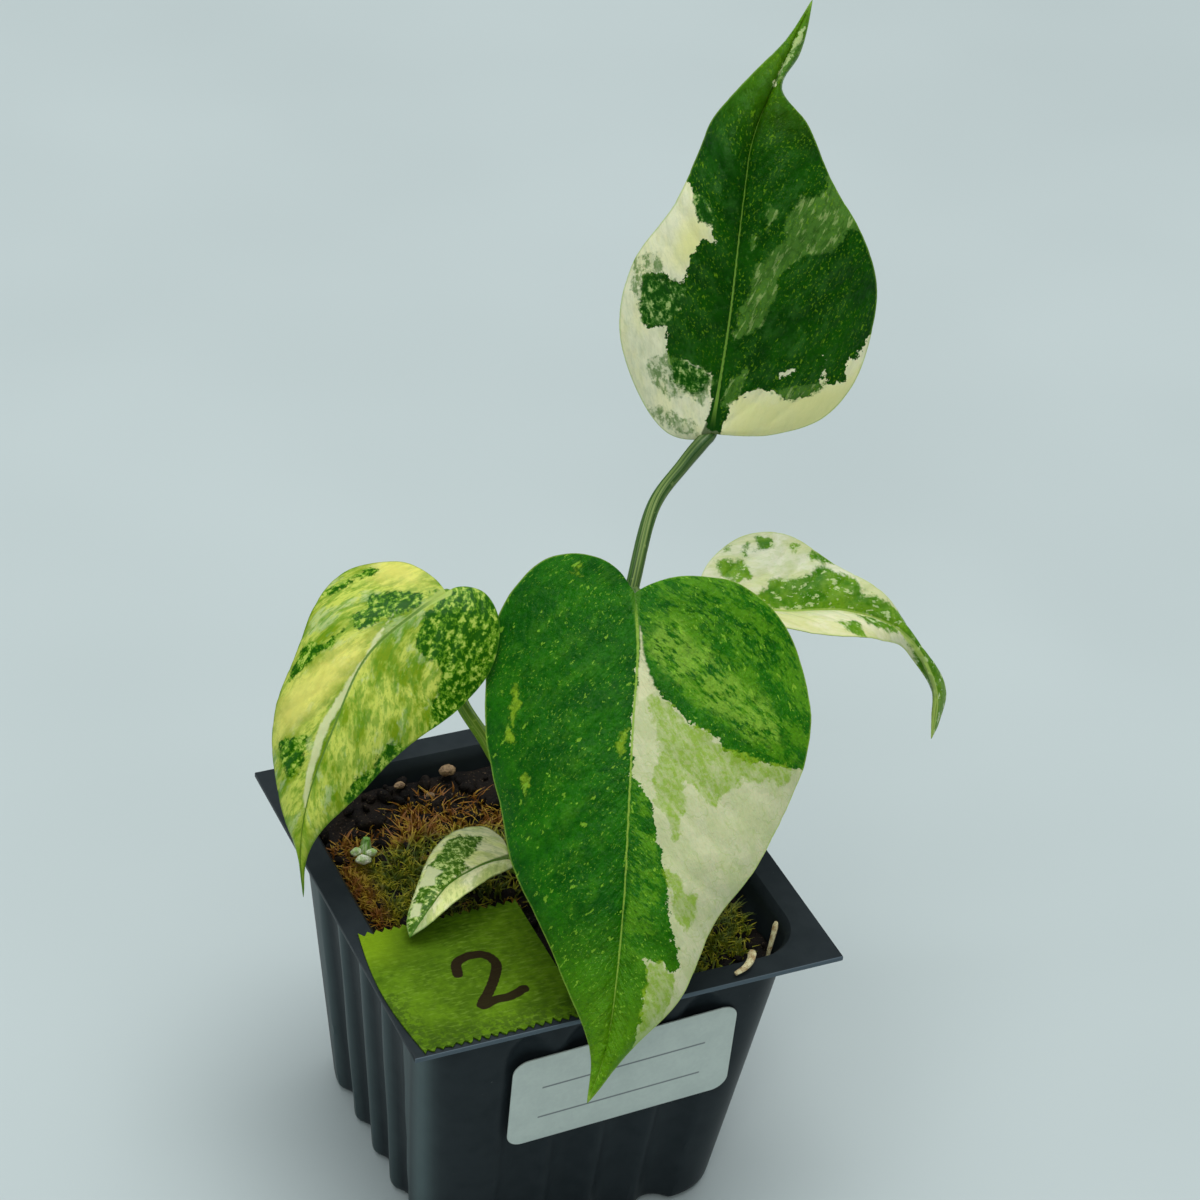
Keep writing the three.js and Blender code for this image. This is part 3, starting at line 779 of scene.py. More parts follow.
# %% Relief and thickness of a blade
RELIEF = {
    # spacing of the side veins and how far they lean forward, heights of quilts, dents and waves
    "upper": {"veins": 6.0, "lean": 1.1, "quilt": 0.14, "dents": 0.12, "wave": 0.3, "waves": 4},
    "central": {"veins": 6.4, "lean": 0.75, "quilt": 0.3, "dents": 0.3, "wave": 0.45, "waves": 5},
    "left": {"veins": 4.6, "lean": 1.3, "quilt": 0.12, "dents": 0.12, "wave": 0.3, "waves": 4},
    "small": {"veins": 2.8, "lean": 1.0, "quilt": 0.06, "dents": 0.05, "wave": 0.1, "waves": 3},
}
RELIEF["right"] = RELIEF["left"]
GROOVE_DEPTH = 0.07
GROOVE_WIDTH = 0.4
MIDRIB_DEPTH = 0.13
MIDRIB_WIDTH = 0.4
MIDRIB_PLACES = 240  # places on the midrib from which lengths are measured
RIB_WIDTH = 0.6
THIN_MARGIN = 0.35  # the blade's thickness at its margin, as a share


def leaf_lengths(leaf, places, across):
    """How far along the midrib each place is, and how far from it, negative left of it."""
    middle = smooth_line(leaf["midrib"], np.linspace(0, 1, MIDRIB_PLACES))
    ahead = np.gradient(middle, axis=0)
    ahead /= np.linalg.norm(ahead, axis=1)[:, None]
    travelled = np.concatenate([[0], np.cumsum(np.linalg.norm(np.diff(middle, axis=0), axis=1))])
    nearest = np.zeros(len(places), int)
    best = np.full(len(places), np.inf)
    for k, point in enumerate(middle):
        gap = ((places - point) ** 2).sum(axis=1)
        nearest = np.where(gap < best, k, nearest)
        best = np.minimum(best, gap)
    beyond = ((places - middle[nearest]) * ahead[nearest]).sum(axis=1)
    return travelled[nearest] + beyond, np.sqrt(best) * np.where(across < 0, -1, 1)


def vein_turns(form, across, along, reach):
    """Counts the side veins: a whole number halfway between two of them."""
    sides = 0.12 * lumps(flat_points(along, reach), 9, 2) + 0.5 * (across > 0)
    return (along - form["lean"] * np.abs(reach)) / form["veins"] + sides


def relief(form, share, across, along, reach):
    """How far the upper face stands out, in millimetres."""
    taper = np.sin(math.pi * np.clip(share, 0, 1)) ** 0.5
    side = np.abs(reach)
    out = np.abs(across)
    flat = flat_points(along, reach)
    turns = vein_turns(form, across, along, reach)
    from_vein = np.abs(turns % 1 - 0.5) * form["veins"]
    grooves = -GROOVE_DEPTH * bell(from_vein, GROOVE_WIDTH) * np.clip(side / 2, 0, 1)
    quilt = form["quilt"] * np.sin(math.pi * ((turns + 0.5) % 1)) * np.sin(math.pi * out)
    dents = form["dents"] * (lumps(flat, 6.5, 3) + 0.45 * lumps(flat, 2.6, 4) + 0.2 * lumps(flat, 1.2, 6))
    wave = form["wave"] * out**3 * np.sin(2 * math.pi * form["waves"] * share + 1.3 * (across > 0))
    midrib = -MIDRIB_DEPTH * bell(side, MIDRIB_WIDTH)
    return taper * (grooves + quilt + wave + midrib + dents * np.clip(side / 1.5, 0, 1))


def leaf_places(piece):
    """Each point's share of the way to the tip, and how far across the blade it is."""
    return kept(piece, "u"), 2 * kept(piece, "v") - 1


def make_blade(name):
    leaf = LEAVES[name]
    form = RELIEF[name]
    piece = lay_grid(
        f"blade_{name}", ALONG_STEPS, ACROSS_STEPS, lambda u, v: blade_form(leaf, u, 2 * v - 1)
    )
    face_towards(piece, leaf["up"])
    share, across = leaf_places(piece)
    along, reach = leaf_lengths(leaf, points_of(piece), across)
    keep(piece, "along", along)
    keep(piece, "reach", reach)
    foot, edge = ray_ends(leaf, share, across)
    keep(piece, "margin", np.linalg.norm(edge - foot, axis=1) * (1 - np.abs(across)))
    turns = vein_turns(form, across, along, reach)
    # crest: where the painted sheen lies, on the crests between the side veins
    crest = np.sin(math.pi * np.abs(turns % 1 - 0.5)) ** 2
    keep(piece, "crest", crest * np.sin(math.pi * np.abs(across)))
    push_out(piece, relief(form, share, across, along, reach))
    return piece


def thicken_blade(piece):
    """Solidify, thinner towards the margin. Then the midrib stands out below."""
    upper = len(piece.data.vertices)
    thin = piece.vertex_groups.new(name="body")
    for k, margin in enumerate(kept(piece, "margin")):
        thin.add([k], min(1.0, THIN_MARGIN + margin / 3), "REPLACE")
    apply(piece, "SOLIDIFY", thickness=BLADE * MM, offset=0, vertex_group="body")
    piece.vertex_groups.clear()
    below = np.arange(len(piece.data.vertices)) >= upper
    keep(piece, "under", below)
    share = kept(piece, "u")
    rib = RIB * (1 - share) * bell(kept(piece, "reach"), RIB_WIDTH)
    push_out(piece, rib * np.clip(share * 30, 0, 1) * below)


# %% [markdown]
# Variegation is tissue with and without chlorophyll. Large sectors are clear cream, their borders
# are ragged and speckled, some zones are an even fine mixture, and others are green under a pale
# veil. An image would give the pattern at one size only. Here each zone is a short outline in
# leaf coordinates, every point of the mesh keeps its distance to the border, and the shader makes
# the ragged detail from noise, so the border stays crisp however near the camera comes.
#
# pale: without green. haze: green under a pale film. veil: the same, thinner and streaked.
# marble: two greens side by side. mottle: a fine mixture of green and pale.
# tint: cream turned yellow. clear: plain cream over all others. green: takes away from pale.

# %% Zones of each leaf, as outlines in share and across
WHOLE = [(-0.1, -1.3), (1.1, -1.3), (1.1, 1.3), (-0.1, 1.3)]

ZONES = {
    "upper": {
        "pale": [
            [(0.62, -1.3), (0.6, -0.89), (0.58, -0.74), (0.55, -0.59), (0.55, -0.44), (0.515, -0.29),
             (0.515, -0.46), (0.48, -0.51), (0.42, -0.45), (0.41, -0.55), (0.425, -0.68),
             (0.41, -0.84), (0.38, -0.83), (0.325, -0.78), (0.31, -0.73), (0.325, -0.55),
             (0.28, -0.55), (0.235, -0.53), (0.235, -0.46), (0.26, -0.37), (0.25, -0.24),
             (0.22, -0.11), (0.145, -0.06), (0.05, -0.14), (-0.05, -0.3), (-0.05, -1.3)],
            [(-0.02, 0.3), (0.035, 0.35), (0.14, 0.14), (0.185, 0.2), (0.215, 0.33), (0.22, 0.46),
             (0.21, 0.61), (0.235, 0.73), (0.265, 0.82), (0.28, 0.92), (0.33, 0.94), (0.37, 1),
             (0.37, 1.3), (-0.05, 1.3)],
            [(0.265, 0.43), (0.28, 0.48), (0.288, 0.55), (0.263, 0.51)],
            [(0.32, 0.69), (0.27, 0.81), (0.268, 0.77)],
            [(0.3, 0.89), (0.32, 0.9), (0.31, 0.94), (0.29, 0.93)],
            [(0.84, 0.06), (0.88, 0.12), (0.93, 0.2), (0.96, 0.7), (0.9, 0.5)],
        ],
        "mottle": [
            [(0.4, -0.85), (0.415, -0.56), (0.41, -0.45), (0.36, -0.43), (0.325, -0.55), (0.315, -0.79)],
            [(0.25, -0.5), (0.258, -0.37), (0.24, -0.19), (0.21, -0.12), (0.17, -0.3), (0.2, -0.5)],
            [(0.6, -0.85), (0.59, -0.64), (0.555, -0.4), (0.545, -0.6)],
        ],
        "haze": [
            [(0.43, -1), (0.453, -0.9), (0.45, -0.76), (0.42, -0.67), (0.41, -0.83), (0.36, -0.84),
             (0.38, -0.95)],
            [(0.25, -0.76), (0.263, -0.55), (0.258, -0.37), (0.24, -0.19), (0.21, -0.07),
             (0.12, -0.15), (0.18, -0.39), (0.16, -0.63), (0.2, -0.77)],
            [(0.15, -1), (0.14, -0.72), (0.09, -0.39), (0.05, -0.6), (0.09, -0.95)],
            [(0.68, 1.2), (0.67, 0.96), (0.63, 0.79), (0.625, 0.59), (0.595, 0.43), (0.545, 0.36),
             (0.51, 0.24), (0.495, 0.14), (0.44, 0.1), (0.35, 0.07), (0.335, 0.15), (0.41, 0.28),
             (0.47, 0.31), (0.51, 0.48), (0.52, 0.71), (0.56, 0.9), (0.58, 1.2)],
            [(0.22, 0.46), (0.245, 0.54), (0.273, 0.79), (0.263, 0.83), (0.233, 0.73), (0.212, 0.61)],
            [(0.84, 0.02), (0.88, 0.13), (0.93, 0.5), (1, 1.2), (0.85, 1.2)],
            [(0.32, 0.06), (0.4, 0.05), (0.42, 0.1), (0.35, 0.14)],
            [(0.14, 0.08), (0.22, 0.1), (0.26, 0.2), (0.2, 0.22), (0.14, 0.14)],
            [(0.5, 0.08), (0.56, 0.1), (0.55, 0.15)],
            [(0.6, -0.09), (0.64, -0.08), (0.61, -0.14)],
            [(0.56, 0.22), (0.61, 0.26), (0.6, 0.31)],
        ],
        "tint": [
            [(0, 0.2), (0.18, 0.2), (0.22, 0.5), (0.28, 0.9), (0.37, 1.2), (0, 1.2)],
            [(0.5, -0.3), (0.57, -0.6), (0.5, -0.75), (0.45, -0.6)],
        ],
    },
    "central": {
        "pale": [
            [(0.25, -0.01), (0.25, 0.03), (0.305, 0.1), (0.34, 0.2), (0.38, 0.3), (0.4, 0.44),
             (0.43, 0.53), (0.44, 0.62), (0.445, 0.78), (0.45, 0.93), (0.46, 1.3), (0.93, 1.3),
             (0.895, 0.88), (0.88, 0.74), (0.85, 0.53), (0.805, 0.47), (0.775, 0.35), (0.772, 0.55),
             (0.787, 0.69), (0.775, 0.78), (0.745, 0.65), (0.69, 0.43), (0.65, 0.35), (0.59, 0.23),
             (0.56, 0.17), (0.535, 0.16), (0.51, 0.11), (0.485, 0.02), (0.4, -0.01)],
        ],
        "haze": [
            [(0.28, 0.04), (0.33, 0.14), (0.39, 0.35), (0.42, 0.52), (0.44, 0.71), (0.45, 0.95),
             (0.475, 0.94), (0.475, 0.67), (0.497, 0.57), (0.522, 0.53), (0.512, 0.45), (0.482, 0.36),
             (0.485, 0.32), (0.55, 0.36), (0.585, 0.34), (0.55, 0.26), (0.527, 0.16), (0.482, 0.12),
             (0.427, 0.16), (0.385, 0.1), (0.328, 0.06)],
            [(0.635, 0.33), (0.64, 0.43), (0.67, 0.56), (0.67, 0.65), (0.7, 0.71), (0.733, 0.76),
             (0.718, 0.65), (0.693, 0.47)],
            [(0.775, 0.34), (0.772, 0.55), (0.79, 0.8), (0.83, 0.91), (0.86, 0.91), (0.883, 0.78),
             (0.85, 0.53), (0.805, 0.45)],
            [(0.158, -0.77), (0.125, -0.81), (0.143, -0.65)],
            [(0.365, -0.78), (0.39, -0.75), (0.43, -0.81), (0.455, -0.86), (0.41, -0.82)],
            [(0.445, -0.85), (0.44, -0.78), (0.458, -0.79)],
            [(0.41, -0.08), (0.388, -0.05), (0.432, -0.06), (0.445, -0.1)],
            [(0.5, -0.76), (0.508, -0.72), (0.54, -0.78), (0.525, -0.81)],
        ],
        "clear": [
            [(0.02, 0.004), (0.02, 0.02), (0.14, 0.028), (0.24, 0.05), (0.31, 0.12), (0.33, 0.02),
             (0.24, 0.003)],
        ],
        "marble": [
            [(0.02, 0.06), (0.2, 0.05), (0.27, 0.12), (0.33, 0.25), (0.39, 0.5), (0.44, 0.8), (0.45, 1.1),
             (0.02, 1.1)],
            [(0.45, 0.02), (0.52, 0.02), (0.62, 0.02), (0.78, 0.05), (0.79, 0.5), (0.6, 0.22)],
        ],
        "veil": [
            [(0.188, 0.07), (0.158, 0.22), (0.173, 0.34), (0.23, 0.35), (0.268, 0.48), (0.315, 0.61),
             (0.352, 0.73), (0.385, 0.82), (0.415, 0.81), (0.403, 0.67), (0.378, 0.53), (0.338, 0.37),
             (0.288, 0.21), (0.238, 0.11)],
        ],
    },
    "left": {
        "pale": [WHOLE],
        "mottle": [
            [(0, 0.1), (0.13, 0.1), (0.21, 0.15), (0.275, 0.21), (0.31, 0.3), (0.33, 0.48), (0.34, 0.61),
             (0.37, 0.71), (0.435, 0.8), (0.485, 0.97), (0.49, 1.3), (0, 1.3)],
            [(0.26, -0.5), (0.217, -0.44), (0.133, -0.25), (0.02, -0.24), (0.158, -0.06), (0.25, -0.1),
             (0.305, -0.18), (0.348, -0.34), (0.343, -0.51), (0.288, -0.4)],
            [(0.37, -0.44), (0.417, -0.47), (0.478, -0.66), (0.537, -0.9), (0.495, -0.95),
             (0.443, -0.87), (0.425, -0.57)],
            [(0.33, -1), (0.265, -0.86), (0.212, -0.9), (0.195, -0.83), (0.217, -0.76),
             (0.278, -0.78), (0.323, -0.84)],
            [(0.545, 1.1), (0.578, 0.8), (0.64, 0.85), (0.708, 0.76), (0.75, 0.88), (0.72, 1.1)],
            [(0.665, -0.78), (0.64, -0.3), (0.713, -0.31), (0.743, -0.56), (0.718, -0.73)],
        ],
        "tint": [
            [(0.182, -1.1), (0.12, -1.1), (0.06, -1.1), (0.115, -0.43), (0.188, -0.46), (0.225, -0.69)],
            [(0.338, -0.12), (0.385, -0.2), (0.465, -0.45), (0.552, -0.85), (0.618, -0.95),
             (0.662, -0.84), (0.63, -0.46), (0.53, -0.19), (0.425, -0.02)],
        ],
        "clear": [
            [(0.235, -0.16), (0.372, 0), (0.508, 0.01), (0.628, -0.08), (0.71, -0.08), (0.812, 0.02),
             (0.787, -0.18), (0.7, -0.19), (0.608, -0.2), (0.515, -0.08), (0.41, -0.02), (0.292, -0.11)],
        ],
    },
    "right": {
        "pale": [WHOLE],
        "green": [
            [(0.147, -0.83), (0.212, -0.66), (0.247, -0.45), (0.247, -0.36), (0.198, -0.32), (0.15, -0.55)],
            [(0.175, -1.05), (0.195, -0.95), (0.193, -0.81), (0.168, -0.91)],
            [(0.23, -0.84), (0.242, -0.83), (0.228, -0.68), (0.22, -0.71)],
            [(0.265, -0.92), (0.302, -0.91), (0.3, -0.78), (0.27, -0.69), (0.258, -0.73)],
            [(0.345, -0.86), (0.362, -0.9), (0.357, -0.8)],
            [(0.25, -0.05), (0.278, -0.2), (0.315, -0.36), (0.383, -0.41), (0.415, -0.55),
             (0.427, -0.69), (0.463, -0.84), (0.52, -0.92), (0.557, -0.53), (0.62, -0.83), (0.665, -1),
             (0.8, -1.2), (1, -1.2), (1, 0.3), (0.75, 0.1), (0.6, -0.02), (0.4, -0.02)],
            [(0.398, -0.93), (0.417, -1.1), (0.475, -1.1), (0.427, -0.85), (0.4, -0.78)],
            [(0.557, 0.3), (0.642, 0.18), (0.765, 0.14), (0.698, 0.56), (0.568, 0.6)],
            [(0.473, 0.61), (0.535, 0.58), (0.53, 1.1), (0.487, 0.95)],
            [(0.76, 0.05), (0.77, 0.4), (0.8, 1.2), (1, 1.2), (1, 0)],
        ],
        "tint": [
            [(0.2, 0.3), (0.53, 0.73), (0.615, 0.61), (0.613, 0.84), (0.542, 1.1), (0.2, 1.2)],
        ],
    },
    "small": {
        "pale": [WHOLE],
        "mottle": [
            [(1, -0.9), (0.825, -0.91), (0.7, -0.89), (0.642, -0.86), (0.575, -0.8), (0.448, -0.88),
             (0.393, -0.88), (0.25, -0.62), (0.34, -0.45), (0.39, -0.28), (0.478, -0.22),
             (0.46, -0.02), (0.6, 0.02), (0.76, 0.02), (0.9, 0.02), (1, 0.1)],
        ],
        "clear": [
            [(0.642, -0.86), (0.618, -0.4), (0.677, -0.48), (0.71, -0.3), (0.763, -0.91)],
            [(0.838, -0.85), (0.828, -0.42), (0.885, -0.31), (0.905, -0.79)],
        ],
    },
}
FAR = 9.0  # the distance kept where a leaf has no such zone, in millimetres


# %% Distance to a zone's border
ZONE_KINDS = ("pale", "haze", "veil", "marble", "mottle", "tint", "clear")
BORDER_STEPS = 14  # points on each edge of an outline


def dense(outline_points):
    """The outline with more points on each of its edges."""
    corners = np.array(outline_points, float)
    shares = np.arange(BORDER_STEPS)[:, None] / BORDER_STEPS
    return np.concatenate([lerp(a, b, shares) for a, b in zip(corners, np.roll(corners, -1, axis=0))])


def inside(share, across, outline_points):
    hit = np.zeros(len(share), bool)
    corners = outline_points[-1:] + outline_points
    for (x1, y1), (x2, y2) in zip(corners, corners[1:]):
        spans = (y1 > across) != (y2 > across)
        if y1 != y2:
            hit ^= spans & (share < x1 + (across - y1) / (y2 - y1) * (x2 - x1))
    return hit


def distance_to(leaf, places, share, across, outlines):
    """The distance in millimetres to the nearest border, positive inside a zone."""
    best = np.full(len(share), -FAR)
    for outline_points in outlines:
        border = dense(outline_points)
        near = blade_form(leaf, np.clip(border[:, 0], 0, 1), border[:, 1])
        gap = np.full(len(share), FAR)
        for point in near:
            gap = np.minimum(gap, np.linalg.norm(places - point, axis=1))
        best = np.maximum(best, np.where(inside(share, across, outline_points), gap, -gap))
    return best


def paint_zones(name, piece):
    """Keeps each point's distance to every kind of zone. Green is taken away from pale."""
    places = points_of(piece)
    share, across = leaf_places(piece)
    found = {
        kind: distance_to(LEAVES[name], places, share, across, ZONES[name].get(kind, []))
        for kind in (*ZONE_KINDS, "green")
    }
    found["pale"] = np.minimum(found["pale"], -found["green"])
    for kind in ZONE_KINDS:
        keep(piece, kind, found[kind])


# %% [markdown]
# The shader of a blade works in layers, as a painter would. First the green, darker and lighter in
# broad patches and lighter at the tip, with a painted sheen on the crests between the side veins,
# flecks of two sizes, and fine cells with painted shade in their hollows and painted glints on
# their tops. Then the cream with its own streaks and, where a blade has it, a net of fine veins.
# Between the two lies the mixed tissue, in three tones taken from one noise. Masks choose among
# them. Midrib, margin and the duller underside come last. A fine pebbled grain makes the bump, for
# the cells of the skin sparkle. All five blades share this graph, and each gives it its own colours
# and amounts.

# %% The blades' finish
ORDINARY = {"net": 0.0, "wedge_width": 0.75, "rib_width": 0.07, "blur": 1.0}
LOOKS = {
    "upper": {
        "green": [(6, 50, 0), (16, 68, 0)], "tip": (96, 144, 14), "painted_sheen": (60, 108, 44),
        "fleck": (88, 128, 16), "flecks": [0.565, 0.655],
        "pale": [(204, 205, 172), (206, 206, 164)], "clear": (190, 196, 160), "tint": (214, 210, 132),
        "haze": (66, 106, 36), "mixed": [(140, 162, 96), (56, 100, 30), (16, 64, 4)],
        "wedge": (14, 56, 4), "wedge_width": 1.25, "rib": (112, 150, 56),
        "fine": 0.5, "grainy": 0.75, "slant": 0.35, "streaks": 0.12, "pebbles": 0.4,
    },
    "central": {
        "green": [(4, 66, 0), (22, 88, 0)], "tip": (104, 150, 16), "painted_sheen": (68, 126, 18),
        "fleck": (112, 156, 40), "flecks": [0.6, 0.635],
        "pale": [(170, 174, 138), (163, 170, 128)], "clear": (178, 180, 142), "tint": (186, 190, 96),
        "haze": (110, 142, 26), "mixed": [(112, 152, 46), (70, 122, 14), (22, 82, 0)],
        "wedge": (54, 104, 20), "rib": (130, 160, 60), "net": 0.2,
        "fine": 0.55, "grainy": 0.35, "slant": 0.55, "streaks": 0.08, "pebbles": 0.9,
    },
    "left": {
        "green": [(38, 90, 6), (78, 124, 18)], "tip": (104, 134, 30), "painted_sheen": (120, 156, 64),
        "fleck": (190, 200, 90), "flecks": [0.58, 0.62],
        "pale": [(166, 178, 76), (104, 130, 18)], "clear": (184, 190, 142), "tint": (204, 198, 104),
        "haze": (150, 170, 122), "mixed": [(148, 170, 70), (76, 120, 18), (24, 74, 0)],
        "wedge": (148, 168, 84), "rib": (56, 96, 20), "rib_width": 0.1,
        "fine": 0.45, "grainy": 0.3, "slant": 0.3, "streaks": 0.75, "pebbles": 0.4,
    },
    "right": {
        "green": [(48, 100, 4), (94, 134, 22)], "tip": (92, 124, 22), "painted_sheen": (120, 152, 70),
        "fleck": (168, 184, 130), "flecks": [0.62, 0.585],
        "pale": [(190, 194, 172), (176, 184, 142)], "clear": (196, 200, 178), "tint": (200, 194, 126),
        "haze": (140, 160, 86), "mixed": [(180, 192, 140), (128, 156, 66), (84, 122, 32)],
        "wedge": (110, 146, 50), "rib": (150, 172, 84), "rib_width": 0.3, "blur": 7.0,
        "fine": 0.55, "grainy": 0.0, "slant": 0.2, "streaks": 0.25, "pebbles": 0.2,
    },
    "small": {
        "green": [(46, 80, 6), (76, 108, 24)], "tip": (84, 120, 40), "painted_sheen": (130, 156, 90),
        "fleck": (150, 172, 90), "flecks": [0.56, 0.62],
        "pale": [(208, 210, 164), (192, 198, 130)], "clear": (182, 188, 144), "tint": (180, 186, 100),
        "haze": (128, 150, 70), "mixed": [(164, 180, 112), (98, 130, 46), (50, 86, 14)],
        "wedge": (60, 98, 20), "wedge_width": 0.6, "rib": (60, 98, 20), "rib_width": 0.2,
        "fine": 0.85, "grainy": 0.4, "slant": 0.6, "streaks": 0.35, "pebbles": 0.25,
    },
}
BORDER = {
    # size of the noise that eats each border, as features per metre, how far it eats, and softness
    "pale": (430.0, 4.6, 0.06),
    "haze": (330.0, 5.0, 0.3),
    "veil": (260.0, 8.0, 1.6),
    "marble": (300.0, 5.0, 0.8),
    "mottle": (430.0, 4.6, 0.3),
    "tint": (220.0, 7.0, 2.4),
    "clear": (430.0, 1.2, 0.2),
}
WEDGE_LENGTH = 4.5  # the stalk's green runs out into the midrib within this length
WRINKLE_LEAN = 1.8  # marble and veil lean this much further from the midrib than other fibres do


def make_blade_finish(name):
    look = {**ORDINARY, **LOOKS[name]}
    material, graph, place = new_material(f"blade {name}")
    along, reach, share, under = (graph.attribute(kind) for kind in ("along", "reach", "u", "under"))
    clouds = graph.group(GRAIN, place=place, scale=160.0)

    def fibres(width, length, seed, lean=1.0):
        inputs = {"along": along, "reach": reach, "slant": look["slant"] * lean}
        return graph.group(FIBRES, width=width, length=length, seed=seed, **inputs)

    def streaks(low, high, *form):
        """Streaks of one width, length and seed. low and high say how many there are."""
        return graph.step(fibres(*form), low, high)

    def wrinkles(low, high, *form):
        """The same, with fine wrinkles in their borders."""
        broad = fibres(*form, WRINKLE_LEAN)
        return graph.step(graph.between(0.38, broad, fibres(0.4, 1.3, 41.0, WRINKLE_LEAN)), low, high)

    def mask(kind):
        scale, border, softness = BORDER[kind]
        inputs = {"distance": graph.attribute(kind), "softness": softness * look["blur"]}
        return graph.group(RAGGED, place=place, scale=scale, reach=border, **inputs)

    light, middle, dark = look["mixed"]
    haze = mask("haze") * graph.between(streaks(0.36, 0.56, 0.8, 2.8, 7.0), 0.55, 1.0)
    tone = graph.between(look["fine"], fibres(0.9, 1.7, 67.0), graph.noise(place, 1500.0, 5.0, 0.7))

    fine, large = look["flecks"]
    crowd = streaks(0.36, 0.6, 4.0, 7.0, 47.0)
    cells = graph.noise(place, 1300.0, 4.0, 0.65)
    green = graph.mix(graph.step(clouds, 0.36, 0.62), *look["green"])
    green = graph.layers(green, [
        (graph.step(share, 0.68, 1.0), look["tip"], 0.55),
        # painted sheen on the crests between the side veins
        (graph.attribute("crest") * streaks(0.42, 0.6, 1.2, 3.0, 71.0), look["painted_sheen"], 0.3),
        (mask("marble") * wrinkles(0.45, 0.55, 2.4, 5.5, 43.0), middle, 0.9),
        (mask("veil") * wrinkles(0.44, 0.54, 1.6, 4.0, 47.0), light, 0.8),
        (haze, look["haze"], 1.0),
        (haze * streaks(0.54, 0.62, 0.7, 3.0, 59.0), light, 0.7),
        (streaks(fine, fine + 0.04, 0.3, 0.55, 11.0) * crowd, look["fleck"], 0.7),
        (streaks(large, large + 0.02, 0.9, 1.8, 17.0), look["fleck"], 0.85),
        # painted shade in the hollows of the cells
        (graph.step(cells, 0.5, 0.36), look["green"][0], 0.3),
        # painted glints on the tops of the cells
        (graph.step(cells, 0.55, 0.66), look["painted_sheen"], 0.16),
    ])

    grainy = graph.between(look["grainy"], 1.0, graph.step(tone, 0.44, 0.53))
    contour = abs(graph.noise(place, 320.0, 2.0, 0.5) - 0.5)
    pale = graph.mix(streaks(0.42, 0.58, 3.0, 8.0, 3.0), *look["pale"])
    pale = graph.layers(pale, [
        (streaks(0.54, 0.63, 2.4, 6.0, 53.0), look["haze"], 0.8 * look["streaks"]),
        (streaks(0.47, 0.6, 0.9, 3.0, 23.0), middle, 0.85 * look["streaks"]),
        (streaks(0.52, 0.6, 0.35, 1.0, 29.0), middle, 0.6 * look["streaks"]),
        (streaks(0.56, 0.62, 0.5, 1.6, 61.0), light, 0.5 * look["streaks"]),
        (mask("tint"), look["tint"], 0.7),
        (graph.step(share, 0.8, 0.92), look["tip"], 0.6),
        (haze * grainy, look["haze"], 0.85),
        (1.0 - graph.step(contour, 0.004, 0.014), look["haze"], look["net"]),
    ])

    mixed = graph.mix(graph.step(tone, 0.42, 0.47), light, middle)
    mixed = graph.mix(graph.step(tone, 0.48, 0.525), mixed, dark)

    side = abs(reach)
    wedge = graph.math("EXPONENT", graph.math("MAXIMUM", along, 0.0) / -WEDGE_LENGTH) * look["wedge_width"]
    rib = 1.0 - graph.step(side - wedge * 0.3, look["rib_width"], look["rib_width"] + 0.16)
    is_pale = mask("pale")
    skin = graph.mix(is_pale, green, pale)
    skin = graph.mix(mask("mottle"), skin, mixed)
    skin = graph.layers(skin, [
        (mask("clear"), look["clear"], 0.9),
        (1.0 - graph.step(side - wedge, 0.0, 0.25), look["wedge"], 0.85),
        (rib * graph.step(along, 0.5, 5.0), look["rib"], 0.8),
        (1.0 - graph.step(graph.attribute("margin"), 0.05, 0.3), look["rib"], 0.5),
        (under, (120, 140, 92), 0.35),
    ])

    roughness = graph.between(clouds, 0.16, 0.34) + under * 0.25
    pebbles = graph.noise(place, 1200.0, 3.0, 0.6) + fibres(0.45, 1.6, 31.0) * 1.3 - 1.15
    bump = (pebbles * graph.between(is_pale, 1.0, 0.35), look["pebbles"], 0.32)
    constants = {"Specular_IOR_Level": 0.11, "Subsurface_Weight": 0.06, "Subsurface_Scale": 0.5 * MM}
    return coat(material, skin, roughness, bump, **constants)


# %% The blades
for name in LEAVES:
    blade = make_blade(name)
    paint_zones(name, blade)
    thicken_blade(blade)
    finish(blade, make_blade_finish(name), [f"leaf_{name}"], smooth=80)

# %% [markdown]
# A leaf stalk is a green rod with a groove along its upper side and fine ribs, wider at its foot,
# where it wraps the stem, and a little swollen at the knee under the blade. A tube with a bevelled
# curve would be round all along. A grid rolled round the path can have its section changed at every
# step, so the groove and the ribs are real.

# %% The leaf stalks
STEM_AT = np.array([1.5, -1.5])
FOOT_RADIUS = 1.25
FOOT_CIRCLE = 3.3
FOOT_HEIGHT = 45.0
RIB_START = 0.07  # the share of the midrib that the stalk runs under
STALK_ROUND = 32
STALK_ALONG = 120
STALK_GROOVE = 0.16  # depths, as shares of the radius
STALK_RIBS = 0.02
KNEE = {"swell": 0.12, "at": 0.9, "width": 0.035}
TAPER_FROM = 0.93  # the last part of a stalk thins out under the midrib
END_SHARE = 1e-3  # a tube closes to a point within this share of its length


def stalk_path(leaf):
    """From the stem to the blade, and on under the blade as the start of its rib."""
    x, y = STEM_AT
    start, onward = smooth_line(leaf["midrib"], [0.0, RIB_START])
    below = unit(leaf["up"])
    end = [list(start - below * (leaf["top_radius"] + 0.15)), list(onward - below * 0.85)]
    if leaf["turn"] is None:
        return [[x, y, FOOT_HEIGHT], [x + 0.6, y + 0.3, 50], *leaf["stalk"], *end]
    turn = math.radians(leaf["turn"])
    foot = [x + FOOT_CIRCLE * math.cos(turn), y + FOOT_CIRCLE * math.sin(turn), FOOT_HEIGHT]
    return [foot, *leaf["stalk"], *end]


